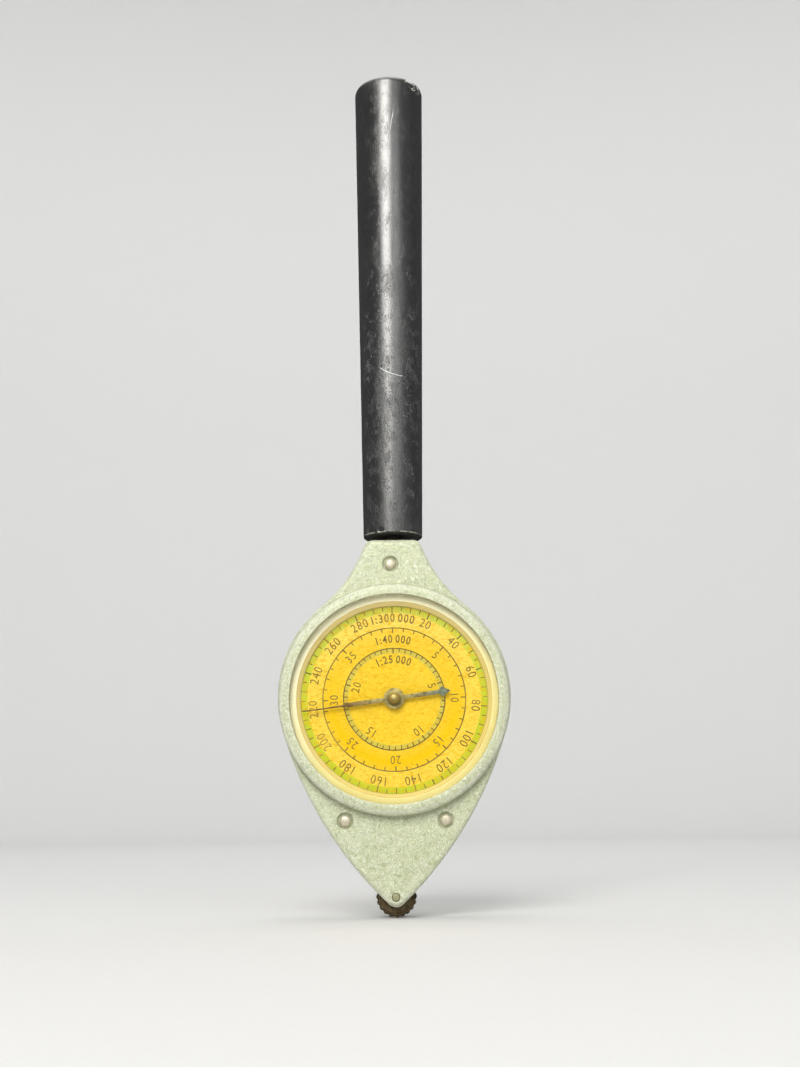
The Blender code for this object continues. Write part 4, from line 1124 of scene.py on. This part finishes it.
def handle_profile():
    """(radius, height) from the foot up the side, over the shoulder and in to the middle of the top."""
    low, high, foot_radius = HANDLE_LOW, HANDLE_HIGH, HANDLE_LOW_RADIUS
    outer = [(foot_radius - 0.30, low), (foot_radius - 0.12, low + 0.04), (foot_radius - 0.02, low + 0.12)]
    outer += [(foot_radius, low + 0.20), (foot_radius, low + 0.30)]
    foot_end, body_end = low + 0.35, high - HANDLE_SHOULDER
    fine_start = body_end - 3.0
    heights = [*np.linspace(foot_end, fine_start, 200), *np.linspace(fine_start, body_end, 24)[1:]]
    taper = (HANDLE_RADIUS - foot_radius) / (body_end - foot_end)
    outer += [(foot_radius + taper * (z - foot_end), z) for z in heights]
    rise = HANDLE_SHOULDER - HANDLE_DOME
    for turn in np.linspace(0, radians(80), 14)[1:]:
        outer.append((HANDLE_RADIUS - HANDLE_SHOULDER * (1 - cos(turn)), body_end + rise * sin(turn)))
    edge_radius, edge_z = outer[-1]
    for share in np.linspace(0, 1, 6)[1:]:
        outer.append((edge_radius * (1 - share), high - (high - edge_z) * (1 - share) ** 2))
    return outer


def weathered(radius, z, angle, x, y):
    """The radius at one point of the handle after its dents and chips, and how bare the point is."""
    on_side = radius > HANDLE_SIDE
    near_top = max(0.0, 1 - (HANDLE_HIGH - z) / 1.6) if on_side else 0.0
    near_foot = max(0.0, 1 - (z - HANDLE_LOW) / 0.5)
    dent = abs(noise.noise(Vector((x * radius, y * radius, z * 0.2)) * 0.45)) * 0.03 if on_side else 0.0
    chip = max(0.0, noise.noise(Vector((x * 2.4 + 3.1, y * 2.4 + 0.7, z * 0.8 + 5.2))) - 0.18)
    chip *= max(0.0, 0.35 + 0.65 * cos(angle + radians(35)))
    nick = max(0.0, noise.noise(Vector((x * 5.0, y * 5.0, 1.7))) - 0.1)
    radius -= dent + 0.5 * chip * near_top + 0.25 * nick * near_foot
    ragged = 0.7 * noise.noise(Vector((x * 14.0, y * 14.0, z * 2.6)))
    bare = 0.0
    for where, below, half_angle, half_height, deep in CHIPS:
        aside = (angle - radians(where) + pi) % (2 * pi) - pi
        upward = HANDLE_HIGH - below - z
        inside = 1 - (aside / radians(half_angle)) ** 2 - (upward / half_height) ** 2 + ragged
        if on_side and inside > 0:
            radius -= deep * min(1.0, 3.0 * inside)
            bare = max(bare, 1.0 - abs(2.0 * min(1.0, 1.5 * inside) - 1.0))
    return radius, bare


def build_handle(finishes):
    """A slightly tapering handle with a soft shoulder, small dents, a chipped rim and a worn foot."""
    steps, low, high = HANDLE_STEPS, HANDLE_LOW, HANDLE_HIGH
    angles = np.linspace(0, 2 * pi, steps, endpoint=False)
    across, around = np.cos(angles), np.sin(angles)
    rings, chips = [], []
    for radius, z in handle_profile():
        reach, bare = np.array([weathered(radius, z, *spot) for spot in zip(angles, across, around)]).T
        chips.append(bare)
        rings.append(np.stack((reach * across, reach * around, np.full(steps, z)), axis=1))
    top_row = len(rings)
    for radius, z in ((0.0, HANDLE_BORE_TOP), (HANDLE_BORE, HANDLE_BORE_TOP), (HANDLE_BORE, low)):
        rings.append(np.stack((radius * across, radius * around, np.full(steps, z)), axis=1))
    points, faces = stitched(rings, closed=True)
    faces = [face for face in faces if not (face[0] // steps == top_row - 1 and face[2] // steps == top_row)]
    piece = new_piece("handle", points, faces, finishes["black_lacquer"], 50, merge=False)
    x, y, z = places(piece).T
    radius = np.hypot(x, y)
    foot = np.clip(1 - np.abs(z - low - 0.22) / 0.10, 0, 1) * (radius > HANDLE_LOW_RADIUS - 0.3)
    wear = foot + np.exp(-np.abs(z - high + 0.45) / 0.30) * (radius > 4.6) * 0.45
    wear[: top_row * steps] += np.concatenate(chips)
    attribute(piece, "wear", np.clip(wear, 0, 1))
    # Painted shade under the foot and inside the bore.
    attribute(piece, "dark", (z < low + 0.13) | (radius < 2.0) & (z < high - 1.0))
    belongs(piece, "case", "black_lacquer", "handle_sleeve")


# Floor


def build_stage():
    """A pale floor that curves up into a wall all round, so that no view looks past it."""
    finish = pale_stage()
    profile = [(0.0, 0.0)] + [(r, 0.0) for r in (60.0, 200.0, 500.0, 800.0)]
    for turn in np.linspace(0, pi / 2, 24)[1:]:
        profile.append((800.0 + 500.0 * sin(turn), 500.0 - 500.0 * cos(turn)))
    profile.append((1300.0, 2200.0))
    lifted = [(r, z - DIAL_Z) for r, z in profile]
    floor = turned("floor", lifted, finish, "Z", 96)
    floor.data.flip_normals()
    floor.visible_glossy = False


def dress_frame(finishes):
    """Each CAD piece that still shows gets the procedural finish of its slot; the tang gets near-black steel,
    painted shade in the gap under the handle.
    """
    for name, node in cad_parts.items():
        for slot in node.material_slots:
            finish = slot.material.name.split(".")[0]
            slot.material = finishes["dark_steel" if name == "handle_tang" else finish]


make_camera()
make_lights()
finishes = make_finishes()
dress_frame(finishes)
build_case(finishes)
build_rivets(finishes)
build_axle(finishes)
build_windows(finishes)
build_printing(finishes)
build_pointers(finishes)
build_roller(finishes)
build_handle(finishes)
build_stage()
